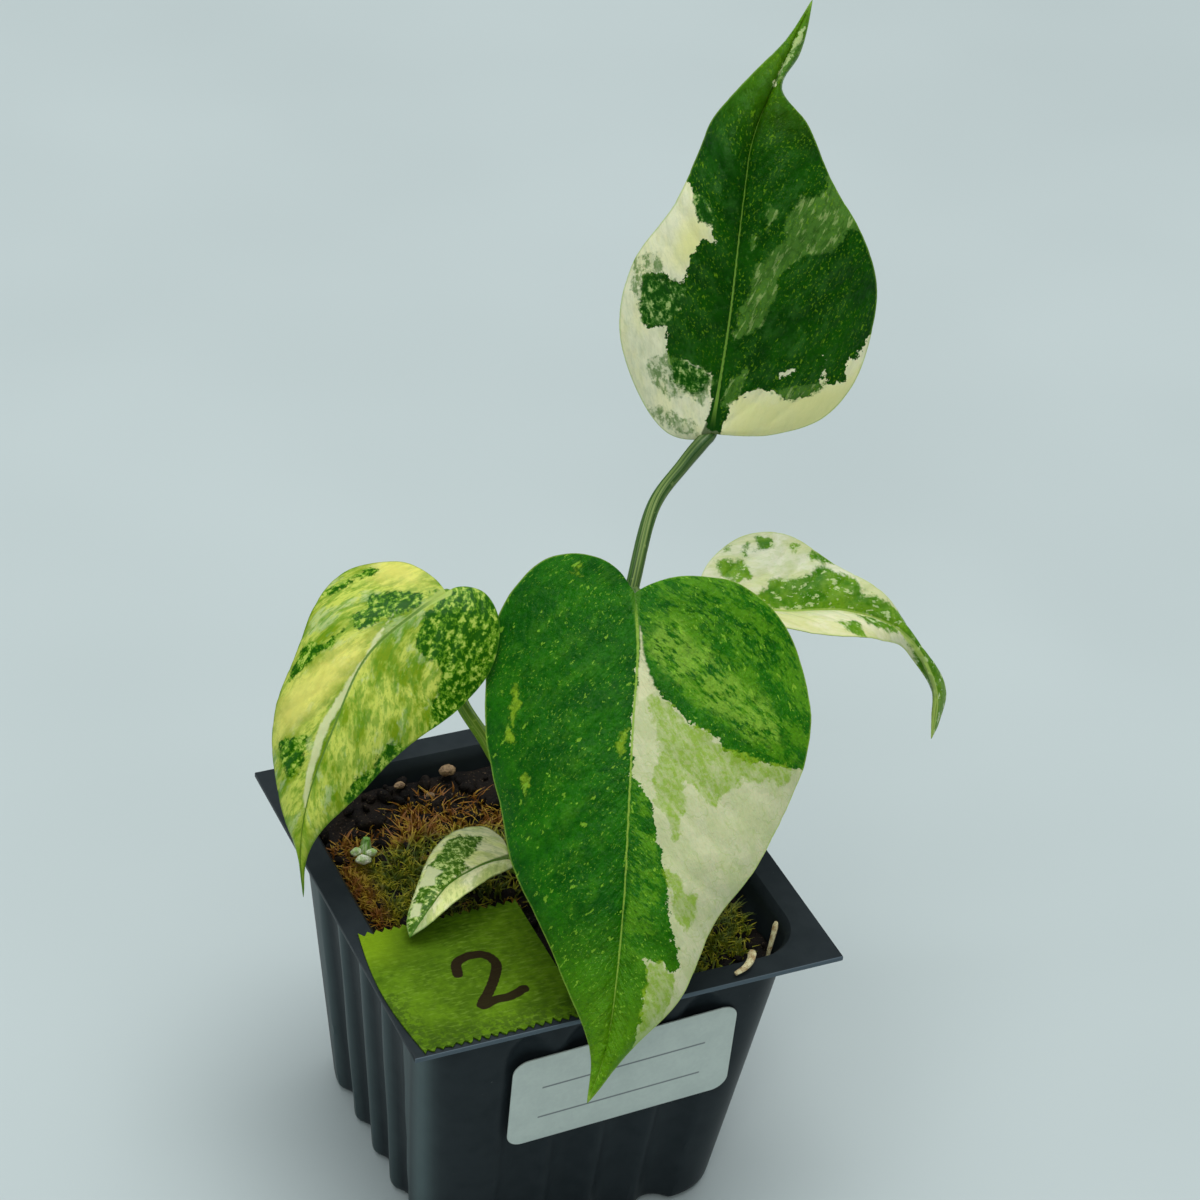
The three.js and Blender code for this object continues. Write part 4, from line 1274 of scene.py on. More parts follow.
def make_tube(name, path, columns, steps, radius_at, section):
    """A closed skin round a path, u round it and v along it."""
    middle = smooth_line(path, np.linspace(0, 1, steps + 1))
    ahead = np.gradient(middle, axis=0)
    ahead /= np.linalg.norm(ahead, axis=1)[:, None]
    sideways = np.cross(ahead, [0, 0, 1.0])
    sideways[np.linalg.norm(sideways, axis=1) < 1e-3] = [1, 0, 0]
    sideways /= np.linalg.norm(sideways, axis=1)[:, None]
    above = np.cross(sideways, ahead)

    def form(u, v):
        at = np.clip(np.round(v * steps).astype(int), 0, steps)
        turn = u * 2 * math.pi
        at_end = (v < END_SHARE) | (v > 1 - END_SHARE)
        radius = np.where(at_end, 0, radius_at(v) * section(turn, v))[:, None]
        around = np.cos(turn)[:, None] * sideways[at] + np.sin(turn)[:, None] * above[at]
        return middle[at] + around * radius

    tube = lay_grid(name, columns, steps, form)
    face_outwards(tube)
    return tube


def from_top(turn):
    """The angle from a tube's upper side, between -pi and pi."""
    return (turn - math.pi / 2 + math.pi) % (2 * math.pi) - math.pi


def make_stalk(name):
    leaf = LEAVES[name]

    def radius_at(v):
        knee = KNEE["swell"] * bell(v - KNEE["at"], KNEE["width"])
        taper = 1 - 0.6 * np.clip((v - TAPER_FROM) / (1 - TAPER_FROM), 0, 1)
        return lerp(FOOT_RADIUS, leaf["top_radius"], np.sqrt(v)) * (1 + knee) * taper

    def section(turn, v):
        groove = STALK_GROOVE * bell(from_top(turn), 0.4)
        ribs = STALK_RIBS * np.cos(turn * 9)
        return 0.98 - groove * np.clip(v * 4, 0, 1) + ribs

    return make_tube(f"stalk_skin_{name}", stalk_path(leaf), STALK_ROUND, STALK_ALONG, radius_at, section)


def make_stalk_finish(name, dark, light, stripe):
    material, graph, place = new_material(name)
    along = graph.attribute("v")
    angle = graph.attribute("u") * (2 * math.pi)
    ring = graph.vector(graph.math("COSINE", angle), graph.math("SINE", angle), along * 0.7)
    fibres = graph.noise(ring, 14.0, 2.0, 0.5)
    skin = graph.mix(graph.step(fibres, 0.3, 0.7), dark, light)
    skin = graph.layers(skin, [
        (graph.step(graph.noise(ring, 3.4, 4.0, 0.6), 0.46, 0.6), stripe, 0.55),
        (graph.step(graph.noise(place, 1400.0, 2.0, 0.5), 0.66, 0.72), stripe, 0.4),
        (1.0 - graph.step(along, 0.0, 0.12), (150, 156, 96), 0.5),
        (graph.step(along, 0.72, 0.95), dark, 0.7),
    ])
    height = fibres + graph.noise(place, 1800.0, 2.0, 0.5)
    return coat(material, skin, graph.between(fibres, 0.35, 0.5), (height, 0.3, 0.08))


dark_stalk = make_stalk_finish("stalk dark", (22, 58, 8), (54, 94, 22), (146, 164, 92))
olive_stalk = make_stalk_finish("stalk olive", (70, 108, 14), (104, 140, 30), (170, 186, 84))
for name in LEAVES:
    skin = dark_stalk if name in ("upper", "central") else olive_stalk
    finish(make_stalk(name), skin, [f"stalk_{name}"], smooth=60)

# %% [markdown]
# The stem is short and half buried. Each leaf leaves a ring scar on it, and thin papery sheaths
# wrap the stalks' feet. It is a ring, drawn up step by step by extruding and scaling,
# the way a pot is turned.

# %% The stem
STEM_RADIUS = 3.8
STEM_FOOT = 33.0
STEM_START = 0.74  # the first ring's radius, as a share
BARK_LEVEL = (47.0, 44.5)  # the stem turns brown between these heights
STEM_PROFILE = [  # height above the foot, and radius as a share
    (0.6, 0.86), (1.4, 0.97), (4.0, 0.94), (6.5, 0.98), (7.0, 0.9), (9.0, 0.95), (11.0, 0.99),
    (11.5, 0.91), (12.6, 0.93), (13.4, 0.84), (14.1, 0.62), (14.5, 0.3),
]


def make_stem():
    place = (STEM_AT[0] * MM, STEM_AT[1] * MM, STEM_FOOT * MM)
    radius = STEM_RADIUS * STEM_START
    shape = {"vertices": 48, "radius": radius * MM, "fill_type": "TRIFAN", "location": place}
    stem = start_from(bpy.ops.mesh.primitive_circle_add, "stem_body", **shape)
    settle(stem)
    bpy.ops.object.mode_set(mode="EDIT")
    bpy.ops.mesh.select_all(action="SELECT")
    height = 0.0
    for next_height, share in STEM_PROFILE:
        wanted = STEM_RADIUS * share
        lift = (0, 0, (next_height - height) * MM)
        bpy.ops.mesh.extrude_region_move(TRANSFORM_OT_translate={"value": lift})
        grow = wanted / radius
        middle = (place[0], place[1], place[2] + next_height * MM)
        bpy.ops.transform.resize(value=(grow, grow, 1), center_override=middle)
        height, radius = next_height, wanted
    bpy.ops.object.mode_set(mode="OBJECT")
    points = points_of(stem)
    ripple = lumps(points, 1.6, 3) * 0.12 + lumps(points, 0.7, 4) * 0.05
    outwards = (points - [*STEM_AT, 0]) * [1, 1, 0]
    length = np.linalg.norm(outwards, axis=1)
    outwards /= np.maximum(length, 1e-6)[:, None]
    set_points(stem, points + outwards * (ripple * (length > 0.5))[:, None])
    edit_all(stem, bpy.ops.mesh.remove_doubles, threshold=MERGE_DISTANCE * MM)
    face_outwards(stem)
    return stem


def make_stem_finish():
    material, graph, place = new_material("stem")
    height = graph.axis(place, "Z")
    rings = graph.math("SINE", height * 1900.0)
    clouds = graph.group(GRAIN, place=place, scale=420.0)
    skin = graph.mix(graph.step(clouds, 0.35, 0.65), (72, 92, 30), (122, 128, 62))
    skin = graph.layers(skin, [
        (graph.step(height, *(z * MM for z in BARK_LEVEL)), (84, 64, 36), 0.7),
        (graph.step(rings, 0.7, 0.95), (96, 80, 44), 0.4),
    ])
    return coat(material, skin, graph.between(clouds, 0.45, 0.7), (clouds + rings * 0.2, 0.5, 0.2))


finish(make_stem(), make_stem_finish(), ["stem"], smooth=50)

# %% [markdown]
# The mix is dark bark and peat, banked against the back wall. Its surface is one sheet with three
# sizes of noise in it, from crumbs up to lumps, and loose crumbs lie on it, each a squashed and
# roughened icosphere. Modelled crumbs cast the small shadows that make soil look deep.

# %% The growing mix
GAP = 0.3
MIX_LEVEL = 44.0
MIX_BASE = 1.3
MIX_ROWS = 90
MIX_INSET = 0.8  # the wall and a little room
CRUMBS = 420
CRUMB_SEED = 11
CRUMBS_REACH = 26.0
CRUMBS_FROM_STEM = 6.0
CRUMB_SIZES = [0.35, 0.5, 0.7, 0.9, 1.25]
CRUMB_FORM = (1.25, 0.95, 0.65)
HEAP = {"x": -9.0, "y": 6.0, "height": 1.6, "spread": 160.0}
BANK = {"start": 14.0, "width": 12.0, "height": 3.0}
BASE_PART = 0.04  # shares of the sheet's rows: base, then side, then top
SIDE_PART = 0.1


def mix_height(x, y):
    heap = HEAP["height"] * np.exp(-((x - HEAP["x"]) ** 2 + (y - HEAP["y"]) ** 2) / HEAP["spread"])
    bank = BANK["height"] * np.clip((y - BANK["start"]) / BANK["width"], 0, 1) ** 2
    return MIX_LEVEL + heap + bank + 0.5 * np.sin(x * 0.71 + 1.3) * np.cos(y * 0.63 - 0.4)


def mix_form(u, v):
    """v runs from the middle of the base, up the side, to the middle of the top."""
    before_top = BASE_PART + SIDE_PART
    base = np.clip(v / BASE_PART, 0, 1)
    side = np.clip((v - BASE_PART) / SIDE_PART, 0, 1)
    top = np.clip((v - before_top) / (1 - before_top), 0, 1)
    points = outline(u, lerp(MIX_BASE, MIX_LEVEL, side), MIX_INSET + GAP + FOOT_ROUND * (side == 0))
    points[:, :2] *= (base * (1 - top**1.1 * 0.999))[:, None]
    on_top = top > 0
    x, y = points[on_top, 0], points[on_top, 1]
    flat = flat_points(x, y)
    rough = 0.5 * lumps(flat, 4.2, 1) + 0.4 * lumps(flat, 1.7, 2) + 0.3 * np.abs(lumps(flat, 0.8, 5))
    points[on_top, 2] = mix_height(x, y) - 0.2 + rough * np.clip(top[on_top] * 8, 0, 1)
    return points


def make_crumbs():
    """Loose crumbs, each with a turn and a size of its own, roughened together."""
    draw = random.Random(CRUMB_SEED)
    made = []
    while len(made) < CRUMBS:
        x, y = (draw.uniform(-CRUMBS_REACH, CRUMBS_REACH) for _ in range(2))
        near_stem = np.hypot(x - STEM_AT[0], y - STEM_AT[1]) < CRUMBS_FROM_STEM
        if near_stem or (y < 12 and draw.random() < 0.55):
            continue
        size = draw.choice(CRUMB_SIZES)
        place = (x * MM, y * MM, (float(mix_height(x, y)) + size * 0.2) * MM)
        turn = [draw.uniform(0, 6.28) for _ in range(3)]
        shape = {"subdivisions": 2, "radius": size * MM, "location": place, "rotation": turn}
        made.append(start_from(bpy.ops.mesh.primitive_ico_sphere_add, "crumb", **shape))
        made[-1].scale = CRUMB_FORM
    crumbs = join(made, "mix_crumbs")
    settle(crumbs)
    push_out(crumbs, lumps(points_of(crumbs), 0.9, 7) * 0.28)
    return crumbs


def make_mix_finish():
    material, graph, place = new_material("growing mix")
    coarse = graph.group(GRAIN, place=place, scale=330.0)
    fine = graph.noise(place, 2400.0, 3.0, 0.6)
    skin = graph.mix(graph.step(coarse, 0.4, 0.65), (7, 5, 4), (23, 17, 12))
    skin = graph.mix(graph.step(fine, 0.62, 0.7), skin, (74, 62, 48))
    bump = (coarse + fine, 0.7, 0.4)
    return coat(material, skin, graph.between(coarse, 0.6, 0.95), bump, Specular_IOR_Level=0.2)


mix = lay_grid("mix_bed", 4 * SIDE_STEPS, MIX_ROWS, mix_form)
face_outwards(mix)
mix_finish = make_mix_finish()
finish(mix, mix_finish, ["growing_mix"], smooth=180)
finish(make_crumbs(), mix_finish, smooth=180)

# %% [markdown]
# The moss on the mix is made of upright shoots with many thin leaves. From a step away it reads as
# fuzz with some yellow tips and rusty patches. Each shoot is a tapered, bent blade of four steps,
# drawn once with a seed, and all shoots are one mesh. Colour comes from the place and from the
# height within the shoot, which the mesh keeps.

# %% The moss
MOSS_SEED = 23
MOSS_BLADES = 7600
MOSS_STEPS = 4
MOSS_SIDES = 3
MOSS_PATCHES = [  # x, y, reach, height of the shoots
    (-13, 8, 14, 3.4), (-13, 6, 12, 3.0), (-20, 2, 9, 2.8), (-8, 14, 10, 3.8), (-19, -6, 7, 2.4),
    (-24, 8, 6, 2.6), (-22, 12, 7, 2.6), (16, -18, 7, 3.4), (22, -13, 6, 3.0), (10, -23, 5, 2.4),
    (8, 12, 9, 3.0), (20, 6, 7, 2.6),
]
MOSS_BARE = -0.42  # tuft noise below this leaves a gap
MOSS_FROM_WALL = 2.4
MOSS_FROM_STEM = 5.0
MOSS_SUNK = 0.6
RUST_LEFT = (-20.5, -24.5)  # where the rusty moss by the left wall begins and is full
RUST_BACK = (12.5, 16.5)


def moss_shoot(draw, x, y, height):
    """One shoot: a bent three-sided blade. Its points, and its height shares."""
    lean = np.array([draw.gauss(0, 0.8), draw.gauss(0, 0.8)]) * height
    curl = np.array([draw.gauss(0, 0.45), draw.gauss(0, 0.45)]) * height
    rise = height / math.sqrt(1 + (lean @ lean) / height**2)
    radius = draw.uniform(0.09, 0.21)
    turn = draw.uniform(0, 2 * math.pi)
    foot = float(mix_height(x, y)) - MOSS_SUNK
    rows, heights = [], []
    for step in range(MOSS_STEPS + 1):
        share = step / MOSS_STEPS
        bend = lean * share + curl * share**2
        arch = math.sin(math.pi * share)
        wide = radius * (1 - share**2) * (0.7 + 0.6 * arch) + 0.01
        for side in range(MOSS_SIDES):
            angle = turn + side * 2 * math.pi / MOSS_SIDES
            rows.append((
                x + bend[0] + wide * math.cos(angle),
                y + bend[1] + wide * math.sin(angle),
                foot + MOSS_SUNK * share + rise * (share + 0.3 * arch),
            ))
            heights.append(share)
    return rows, heights


def shoot_faces(start):
    """The sides of a shoot whose points begin at start, and its two ends."""
    tip = start + MOSS_SIDES * MOSS_STEPS
    faces = []
    for low in range(start, tip, MOSS_SIDES):
        for side in range(MOSS_SIDES):
            after = (side + 1) % MOSS_SIDES
            high = low + MOSS_SIDES
            faces.append((low + side, low + after, high + after, high + side))
    return [*faces, (start + 2, start + 1, start), (tip, tip + 1, tip + 2)]


def inside_pot(x, y, margin):
    room = half_width(MIX_LEVEL) - margin
    corner = corner_radius(MIX_LEVEL) - margin
    dx, dy = max(abs(x) - room + corner, 0), max(abs(y) - room + corner, 0)
    return math.hypot(dx, dy) < corner


def make_moss():
    draw = random.Random(MOSS_SEED)
    points, heights, faces = [], [], []
    while len(points) < MOSS_BLADES * MOSS_SIDES * (MOSS_STEPS + 1):
        cx, cy, spread, tall = draw.choice(MOSS_PATCHES)
        far = spread * draw.random() ** 0.5
        angle = draw.uniform(0, 2 * math.pi)
        x, y = cx + far * math.cos(angle), cy + far * math.sin(angle)
        tuft = noise.noise(Vector((x / 3.2, y / 3.2, 0.5)))
        near_stem = math.hypot(x - STEM_AT[0], y - STEM_AT[1]) < MOSS_FROM_STEM
        if not inside_pot(x, y, MOSS_FROM_WALL) or near_stem or tuft < MOSS_BARE:
            continue
        height = tall * (0.45 + 0.5 * draw.random()) * (1 + 0.6 * tuft) * (1 - 0.4 * far / spread)
        faces.extend(shoot_faces(len(points)))
        rows, shares = moss_shoot(draw, x, y, height)
        points.extend(rows)
        heights.extend(shares)
    mesh = bpy.data.meshes.new("moss")
    mesh.from_pydata((np.array(points) * MM).tolist(), [], faces)
    moss = bpy.data.objects.new("moss", mesh)
    bpy.context.scene.collection.objects.link(moss)
    keep(moss, "height", heights)
    return moss


def make_moss_finish():
    material, graph, place = new_material("moss")
    height = graph.attribute("height")
    tips = graph.noise(place, 700.0, 2.0, 0.5)
    by_wall = graph.math(
        "MAXIMUM",
        graph.step(graph.axis(place, "X"), *(x * MM for x in RUST_LEFT)),
        graph.step(graph.axis(place, "Y"), *(y * MM for y in RUST_BACK)),
    )
    patches = graph.step(graph.noise(place, 130.0, 3.0, 0.6), 0.57, 0.68)
    skin = graph.mix(graph.step(tips, 0.35, 0.62), (54, 70, 0), (106, 114, 4))
    skin = graph.layers(skin, [
        (graph.math("MAXIMUM", patches, by_wall), (120, 62, 10), 0.75),
        (graph.step(height, 0.35, 1.0) * graph.step(tips, 0.46, 0.6), (168, 148, 26), 0.6),
        (1.0 - graph.step(height, 0.0, 0.4), (36, 24, 4), 0.8),
    ])
    rough = graph.noise(place, 3000.0, 2.0, 0.5)
    return coat(material, skin, graph.between(tips, 0.5, 0.8), (rough, 0.3, 0.1))


finish(make_moss(), make_moss_finish(), smooth=60)

# %% [markdown]
# Small things lie about: grains of pumice, a young shoot in the moss with three pale buds round
# it, and the husks of old sheaths, one on the flange and one leaning in the corner. Each starts as
# a sphere or a rolled grid and is then roughened, because nothing here is a perfect ball.

# %% Pumice, shoot and husks
PUMICE = [(-4.4, 25.4, 1.1), (-12, 25, 0.7), (-8, 22.8, 0.6)]  # x, y, radius
BUDS = [(-22.3, 12.6, 1.0, 0.9), (-20.9, 13.0, 0.7, 1.7), (-23.0, 13.9, 0.75, 1.6)]  # and lift
GRAIN_FORM = (1.15, 0.8, 0.7)
SHOOT_AT = (-21.6, 14.6)
SHOOT_RADIUS = 1.35
SHOOT_LENGTH = 4.6
SHOOT_SUNK = 1.5
SHOOT_LEAN = 0.8
HUSK_PATH = [[15.6, -31, 50.65], [17.2, -30.6, 50.95], [18.6, -29.7, 51.4], [19.3, -28.6, 52.0]]
CORNER_HUSK_PATH = [[24.4, -24.3, 45.0], [24.8, -24.1, 47.4], [25.4, -23.6, 49.4], [25.9, -23.0, 50.8]]
HUSK_ROUND = 28
SHOOT_ROUND = 36
TRIM_STEPS = 60


def make_grain(name, x, y, radius, seed, lift=0.0):
    z = float(mix_height(np.float64(x), np.float64(y))) + radius * 0.9 + GAP + lift
    shape = {"subdivisions": 4, "radius": radius * MM, "location": (x * MM, y * MM, z * MM)}
    grain = start_from(bpy.ops.mesh.primitive_ico_sphere_add, name, **shape)
    bpy.ops.transform.resize(value=GRAIN_FORM)
    settle(grain)
    points = points_of(grain)
    pits = lumps(points, 0.9 * radius, seed) * 0.2 + lumps(points, 0.3 * radius, seed + 9) * 0.1
    push_out(grain, pits * radius)
    return grain


def make_husk(name, path, radius, tip):
    def section(turn, v):
        fold = 1 - 0.55 * bell(from_top(turn), 0.8)
        return fold + 0.06 * np.cos(turn * 7 + 5 * v)

    def radius_at(v):
        return radius * (0.25 + lerp(0.3, 1.0, v**0.7) * tip) * (1 - 0.5 * np.clip(v * 8 - 7, 0, 1))

    return make_tube(name, path, HUSK_ROUND, TRIM_STEPS, radius_at, section)


def make_shoot():
    x, y = SHOOT_AT
    foot = float(mix_height(np.float64(x), np.float64(y))) - SHOOT_SUNK
    path = [[x + SHOOT_LEAN * s, y + SHOOT_LEAN * s, foot + SHOOT_LENGTH * s] for s in (0, 0.5, 1)]

    def section(turn, v):
        return 1 + 0.06 * np.cos(turn * 5 + v * 3) - 0.2 * bell((turn + 9 * v) % (2 * math.pi) - 3, 0.35)

    def radius_at(v):
        return lerp(SHOOT_RADIUS, SHOOT_RADIUS * 0.35, v**1.6)

    return make_tube("young_shoot", path, SHOOT_ROUND, TRIM_STEPS, radius_at, section)


def make_dry_finish(name, light, dark, scale):
    material, graph, place = new_material(name)
    grain = graph.group(GRAIN, place=place, scale=scale)
    skin = graph.mix(graph.step(grain, 0.35, 0.62), dark, light)
    return coat(material, skin, graph.between(grain, 0.6, 0.9), (grain, 0.6, 0.15))


pumice_finish = make_dry_finish("pumice", (134, 112, 82), (76, 58, 40), 900.0)
for number, (x, y, radius) in enumerate(PUMICE, start=1):
    grain = make_grain(f"pumice_{number}", x, y, radius, number)
    finish(grain, pumice_finish, [f"perlite_{number}"], smooth=180)
husk_finish = make_dry_finish("dry husk", (216, 200, 158), (146, 120, 78), 1300.0)
finish(make_husk("husk_flange", HUSK_PATH, 0.5, 1.0), husk_finish, ["husk"], smooth=60)
finish(make_husk("husk_corner", CORNER_HUSK_PATH, 0.42, 0.8), husk_finish, smooth=60)
shoot_finish = make_stalk_finish("young shoot", (74, 130, 26), (150, 190, 90), (214, 222, 188))
finish(make_shoot(), shoot_finish, ["shoot"], smooth=60)
bud_finish = make_dry_finish("buds", (216, 222, 192), (136, 170, 80), 700.0)
buds = [make_grain(f"bud_{k}", x, y, radius, k, lift) for k, (x, y, radius, lift) in enumerate(BUDS)]
finish(join(buds, "buds"), bud_finish, smooth=180)

# %% [markdown]
# A piece of creped paper tape lies over the corner of the flange, with a number written on it.
# Creping makes fine wrinkles across the tape, the cutter left teeth at both ends, and the seedling
# leaf presses a shallow dimple into it. The number is only ink, so it is not modelled: each point
# keeps its distance to the pen's line, and the shader inks what is near.

# %% The tape
TAPE = {
    "left": -30.4, "right": -7.0, "front": -31.6, "back": -6.2,
    "thick": 0.24, "bulge": 1.3, "above_rim": 0.19,
}
TAPE_COLUMNS = 192
TAPE_ROWS = 208
TOOTH_PITCH = 1.3
TOOTH_DEPTH = 0.9
TORN_PARTS = 12  # the first and last of this many parts of the length follow the teeth
DIMPLE = {"x": -23.5, "y": -11.5, "reach": 3.6, "depth": 0.35, "front": -26.0, "fade": 4.0}
PEN_WIDTH = 1.5
NUMBER_AT = (-17.2, -20.4)
NUMBER_SIZE = 10.0
NUMBER_TURN = math.radians(8)
PEN_LINE = [(-0.3, 0.24), (-0.2, 0.44), (0.02, 0.5), (0.24, 0.4), (0.28, 0.2), (0.12, -0.04),
            (-0.1, -0.26), (-0.32, -0.46), (-0.1, -0.44), (0.12, -0.47), (0.36, -0.42)]


def pen_distance(x, y):
    """How far each place is from the middle of the pen's line."""
    line = smooth_line([[a, b, 0] for a, b in PEN_LINE], np.linspace(0, 1, 90)) * NUMBER_SIZE
    cosine, sine = math.cos(NUMBER_TURN), math.sin(NUMBER_TURN)
    line_x = line[:, 0] * cosine - line[:, 1] * sine + NUMBER_AT[0]
    line_y = line[:, 0] * sine + line[:, 1] * cosine + NUMBER_AT[1]
    return np.min([np.hypot(x - a, y - b) for a, b in zip(line_x, line_y)], axis=0)


def dimple_distance(x, y):
    return np.hypot(x - DIMPLE["x"], y - DIMPLE["y"])


def tape_form(u, v):
    teeth = round((TAPE["right"] - TAPE["left"]) / TOOTH_PITCH)
    gap = 1 - np.abs((u * teeth) % 1 - 0.5) * 2
    x = lerp(TAPE["left"], TAPE["right"], u) - TAPE["bulge"] * np.sin(math.pi * v) * (1 - u)
    torn = 0.8 + 0.4 * np.sin(u * 37) * np.sin(u * 91 + 1)
    near = np.clip(1 - v * TORN_PARTS, 0, 1)
    far = np.clip(v * TORN_PARTS - TORN_PARTS + 1, 0, 1)
    y = lerp(TAPE["front"], TAPE["back"], v) + TOOTH_DEPTH * (torn * gap * near - gap**0.7 * far)
    wrinkles = 0.03 * lumps(flat_points(x, y * 3), 1.1)
    crepe = 0.035 * np.sin(y * 9 + 1.2 * np.sin(x * 0.9)) + wrinkles
    pressed = DIMPLE["depth"] * bell(dimple_distance(x, y), DIMPLE["reach"])
    pressed *= np.clip((y - DIMPLE["front"]) / DIMPLE["fade"], 0, 1)
    return np.stack([x, y, POT_HEIGHT + TAPE["above_rim"] + crepe - pressed], axis=1)


def make_tape():
    tape = lay_grid("tape_strip", TAPE_COLUMNS, TAPE_ROWS, tape_form)
    face_towards(tape, (0, 0, 1))
    x, y, _ = points_of(tape).T
    keep(tape, "pen", pen_distance(x, y))
    keep(tape, "dimple", dimple_distance(x, y))
    apply(tape, "SOLIDIFY", thickness=TAPE["thick"] * MM, offset=0)
    return tape


def make_tape_finish():
    material, graph, place = new_material("creped tape")
    clouds = graph.group(GRAIN, place=place, scale=170.0)
    stretched = graph.add("ShaderNodeMapping", {"Vector": place, "Scale": (700, 2600, 700)})
    crepe = graph.noise(stretched, 1.0, 3.0, 0.6)
    u, v = graph.attribute("u"), graph.attribute("v")
    # darker and mottled towards the tape's front and left edges
    darker_edges = graph.math("MAXIMUM", graph.step(v, 0.25, 0.04), graph.step(u, 0.2, 0.02))
    darker_edges = graph.between(darker_edges * graph.step(v, 0.6, 0.4), 0.15, 1.0)
    within = PEN_WIDTH / 2 - graph.attribute("pen")
    ink = graph.group(RAGGED, distance=within, place=place, scale=1500.0, reach=0.22, softness=0.07)
    skin = graph.mix(graph.step(clouds, 0.35, 0.65), (54, 82, 0), (78, 110, 8))
    skin = graph.layers(skin, [
        (graph.step(crepe, 0.5, 0.7), (110, 138, 50), 0.35),
        (graph.step(u, 0.45, 0.05) * graph.step(v, 0.6, 0.9), (112, 142, 12), 0.7),
        (darker_edges * graph.step(graph.noise(place, 1300.0, 3.0, 0.6), 0.42, 0.56), (36, 58, 8), 0.6),
        # painted shade: the tape is darker in and round the dimple under the seedling leaf
        (1.0 - graph.step(graph.attribute("dimple"), 1.5, 6.5), (44, 70, 0), 0.5),
        (ink, (24, 4, 4), 0.94),
    ])
    return coat(material, skin, graph.between(crepe, 0.65, 0.85), (crepe, 0.5, 0.12), Specular_IOR_Level=0.12)


finish(make_tape(), make_tape_finish(), ["tape"], smooth=60)

# %% [markdown]
# The sticker on the front wall is satin paper with round corners. It is a box at its own size:
# its four upright edges are bevelled for the corners and its front edges a hair. Nothing is
# written on it. Two ruled lines wait for a name.

# %% The sticker
STICKER = {"width": 34.0, "height": 17.6, "thick": 0.22, "round": 2.4, "x": 2.0, "z": 32.2}
STICKER_TURN = math.radians(2.6)
EDGE_ROUND = 0.05
RULES = [2.3, -3.9]  # heights of the ruled lines above its middle
RULE_HALF_LENGTH = 12.5
RULE_HALF_WIDTH = 0.16


def make_sticker():
    sticker = start_from(bpy.ops.mesh.primitive_cube_add, "sticker_paper", size=MM)
    bpy.ops.transform.resize(value=(STICKER["width"], STICKER["height"], STICKER["thick"]))
    settle(sticker)
    bpy.ops.object.mode_set(mode="EDIT")
    bpy.ops.mesh.select_mode(type="EDGE")
    bpy.ops.mesh.select_all(action="DESELECT")
    bpy.ops.object.mode_set(mode="OBJECT")
    for edge in sticker.data.edges:
        a, b = (sticker.data.vertices[k].co for k in edge.vertices)
        edge.select = abs(a.z - b.z) > 0.5 * STICKER["thick"] * MM
    bpy.ops.object.mode_set(mode="EDIT")
    bpy.ops.mesh.bevel(offset=STICKER["round"] * MM, segments=10)
    bpy.ops.mesh.select_mode(type="VERT")
    bpy.ops.object.mode_set(mode="OBJECT")
    round_edges(sticker, EDGE_ROUND)
    lean = Matrix.Rotation(math.pi / 2 + math.atan(DRAFT), 4, "X")
    turn = Matrix.Rotation(STICKER_TURN, 4, "Z")
    face = half_width(STICKER["z"]) + GAP
    place = Matrix.Translation(Vector((STICKER["x"], -face, STICKER["z"])) * MM)
    out = Matrix.Translation((0, 0, STICKER["thick"] / 2 * MM))
    sticker.data.transform(place @ lean @ turn @ out)
    sticker.data.update()
    return sticker


def make_sticker_finish():
    material, graph, place = new_material("sticker paper")
    grain = graph.group(GRAIN, place=place, scale=260.0)
    aside = graph.axis(place, "X") - STICKER["x"] * MM
    height = graph.axis(place, "Z") - STICKER["z"] * MM - aside * math.tan(STICKER_TURN)
    within = 1.0 - graph.step(abs(aside), (RULE_HALF_LENGTH - 0.2) * MM, RULE_HALF_LENGTH * MM)
    skin = graph.mix(graph.step(grain, 0.3, 0.7), (168, 178, 172), (177, 187, 180))
    low, high = ((RULE_HALF_WIDTH + soft) * MM for soft in (-0.05, 0.05))
    for rule in RULES:
        line = 1.0 - graph.step(abs(height - rule * MM), low, high)
        skin = graph.mix(line * within * 0.8, skin, (70, 78, 82))
    paper = graph.group(GRAIN, place=place, scale=900.0)
    return coat(material, skin, graph.between(grain, 0.32, 0.45), (paper, 0.15, 0.04))


finish(make_sticker(), make_sticker_finish(), ["sticker"], smooth=30)

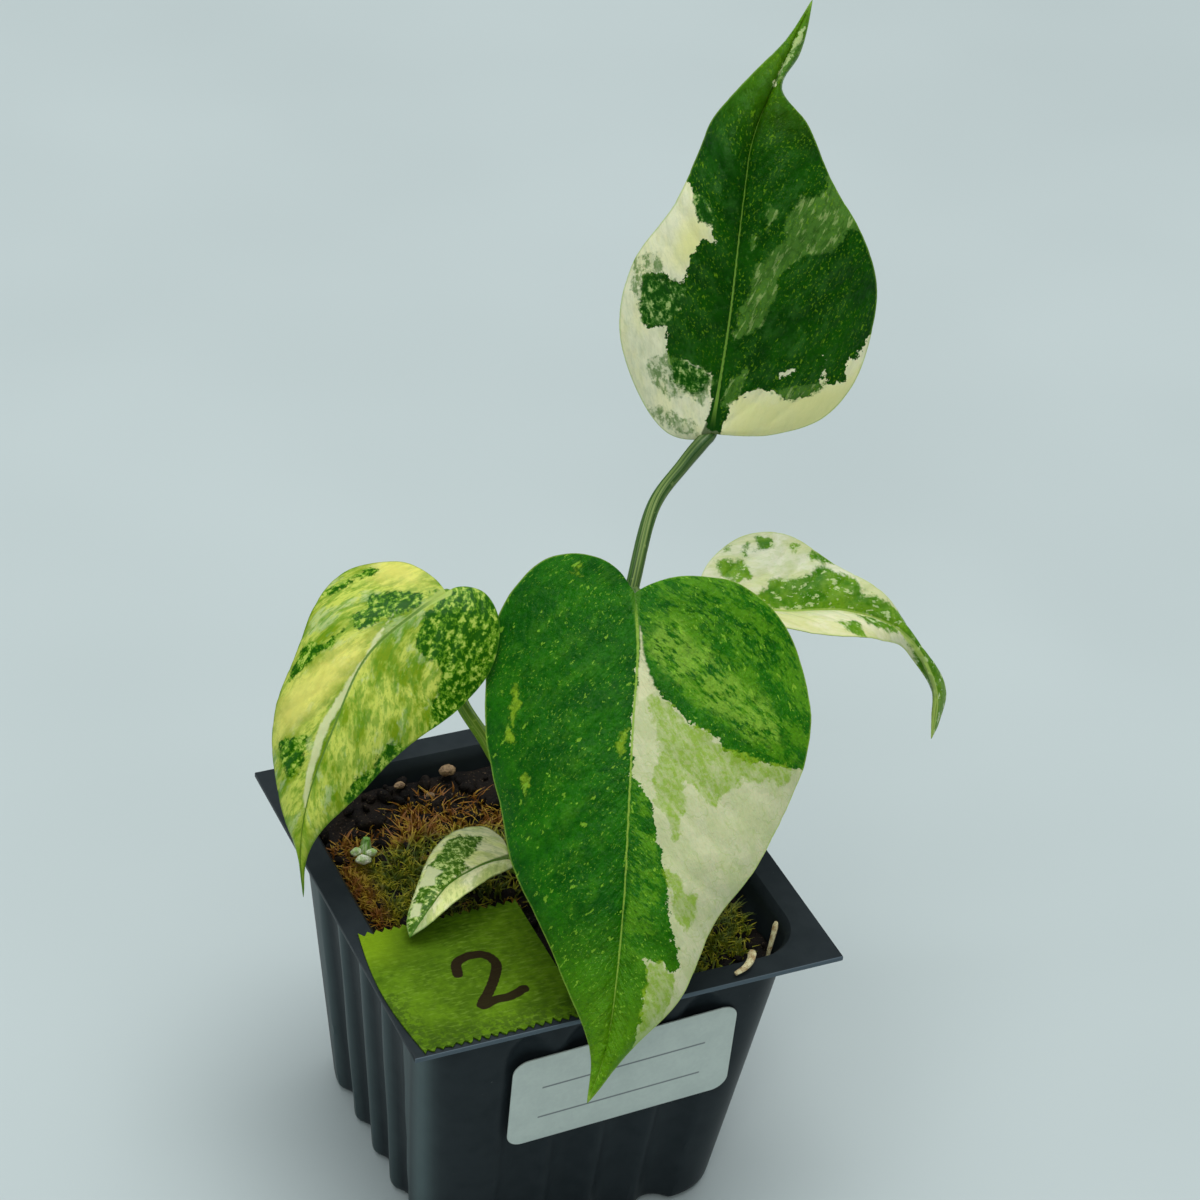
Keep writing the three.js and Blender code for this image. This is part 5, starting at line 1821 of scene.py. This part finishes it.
# %% [markdown]
# The set is a wide pale floor, a pale surround that is brighter overhead, and three area lights.
# The key light is large and hangs overhead, so that the blades, which face the camera, don't
# mirror it into the lens, and the shadow lies close round the pot. A weak fill stands behind the
# camera. A low light on the far left draws the bright lines down the flutes, and the pot's colour
# adds painted highlights on their ridges.

# %% The set
FLOOR_HALF = 4.0
FLOOR_LEVEL = -0.05  # in millimetres, so that no two faces share a plane
LIGHTS = {  # place, aim and size in metres, power in watts, colour
    "key": ((0.07, 0.16, 1.55), (0, 0, 0.05), (1.2, 1.2), 15.6, (1.0, 0.975, 0.96)),
    "fill": ((-0.75, -1.1, 1.25), (0, 0, 0.1), (0.45, 0.45), 3.2, (1.0, 0.98, 0.95)),
    "flute_light": ((-1.3, 0.3, 0.45), (0, 0, 0.05), (0.12, 0.8), 1.1, (0.86, 0.97, 1.0)),
}


def make_floor():
    shape = {"size": 2 * FLOOR_HALF, "location": (0, 0, FLOOR_LEVEL * MM)}
    floor = start_from(bpy.ops.mesh.primitive_plane_add, "floor", **shape)
    material, graph, place = new_material("floor")
    clouds = graph.step(graph.noise(place, 9.0, 2.0, 0.5), 0.3, 0.7)
    floor.data.materials.append(coat(material, graph.mix(clouds, (158, 169, 170), (162, 173, 174)), 0.7))


def make_light(name, place, aim, size, power, tone):
    bpy.ops.object.light_add(type="AREA", location=place)
    light = bpy.context.object
    light.name = name
    light.data.shape = "RECTANGLE"
    light.data.size, light.data.size_y = size
    light.data.energy = power
    light.data.color = tone
    light.rotation_euler = (Vector(aim) - Vector(place)).to_track_quat("-Z", "Y").to_euler()


def make_surround():
    world = bpy.data.worlds.new("surround")
    world.use_nodes = True
    sky = Graph(world.node_tree)
    height = sky.axis(sky.add("ShaderNodeTexCoord", output="Generated"), "Z")
    surround = world.node_tree.nodes["Background"]
    surround.inputs["Color"].default_value = (0.9, 0.98, 1.0, 1)
    sky.feed(surround.inputs["Strength"], sky.between(sky.step(height, 0.15, 1.0), 0.11, 0.58))
    bpy.context.scene.world = world


make_floor()
for name, (place, aim, size, power, tone) in LIGHTS.items():
    make_light(name, place, aim, size, power, tone)
make_surround()
bpy.context.scene.view_settings.view_transform = "Standard"
print("lights:", list(LIGHTS))
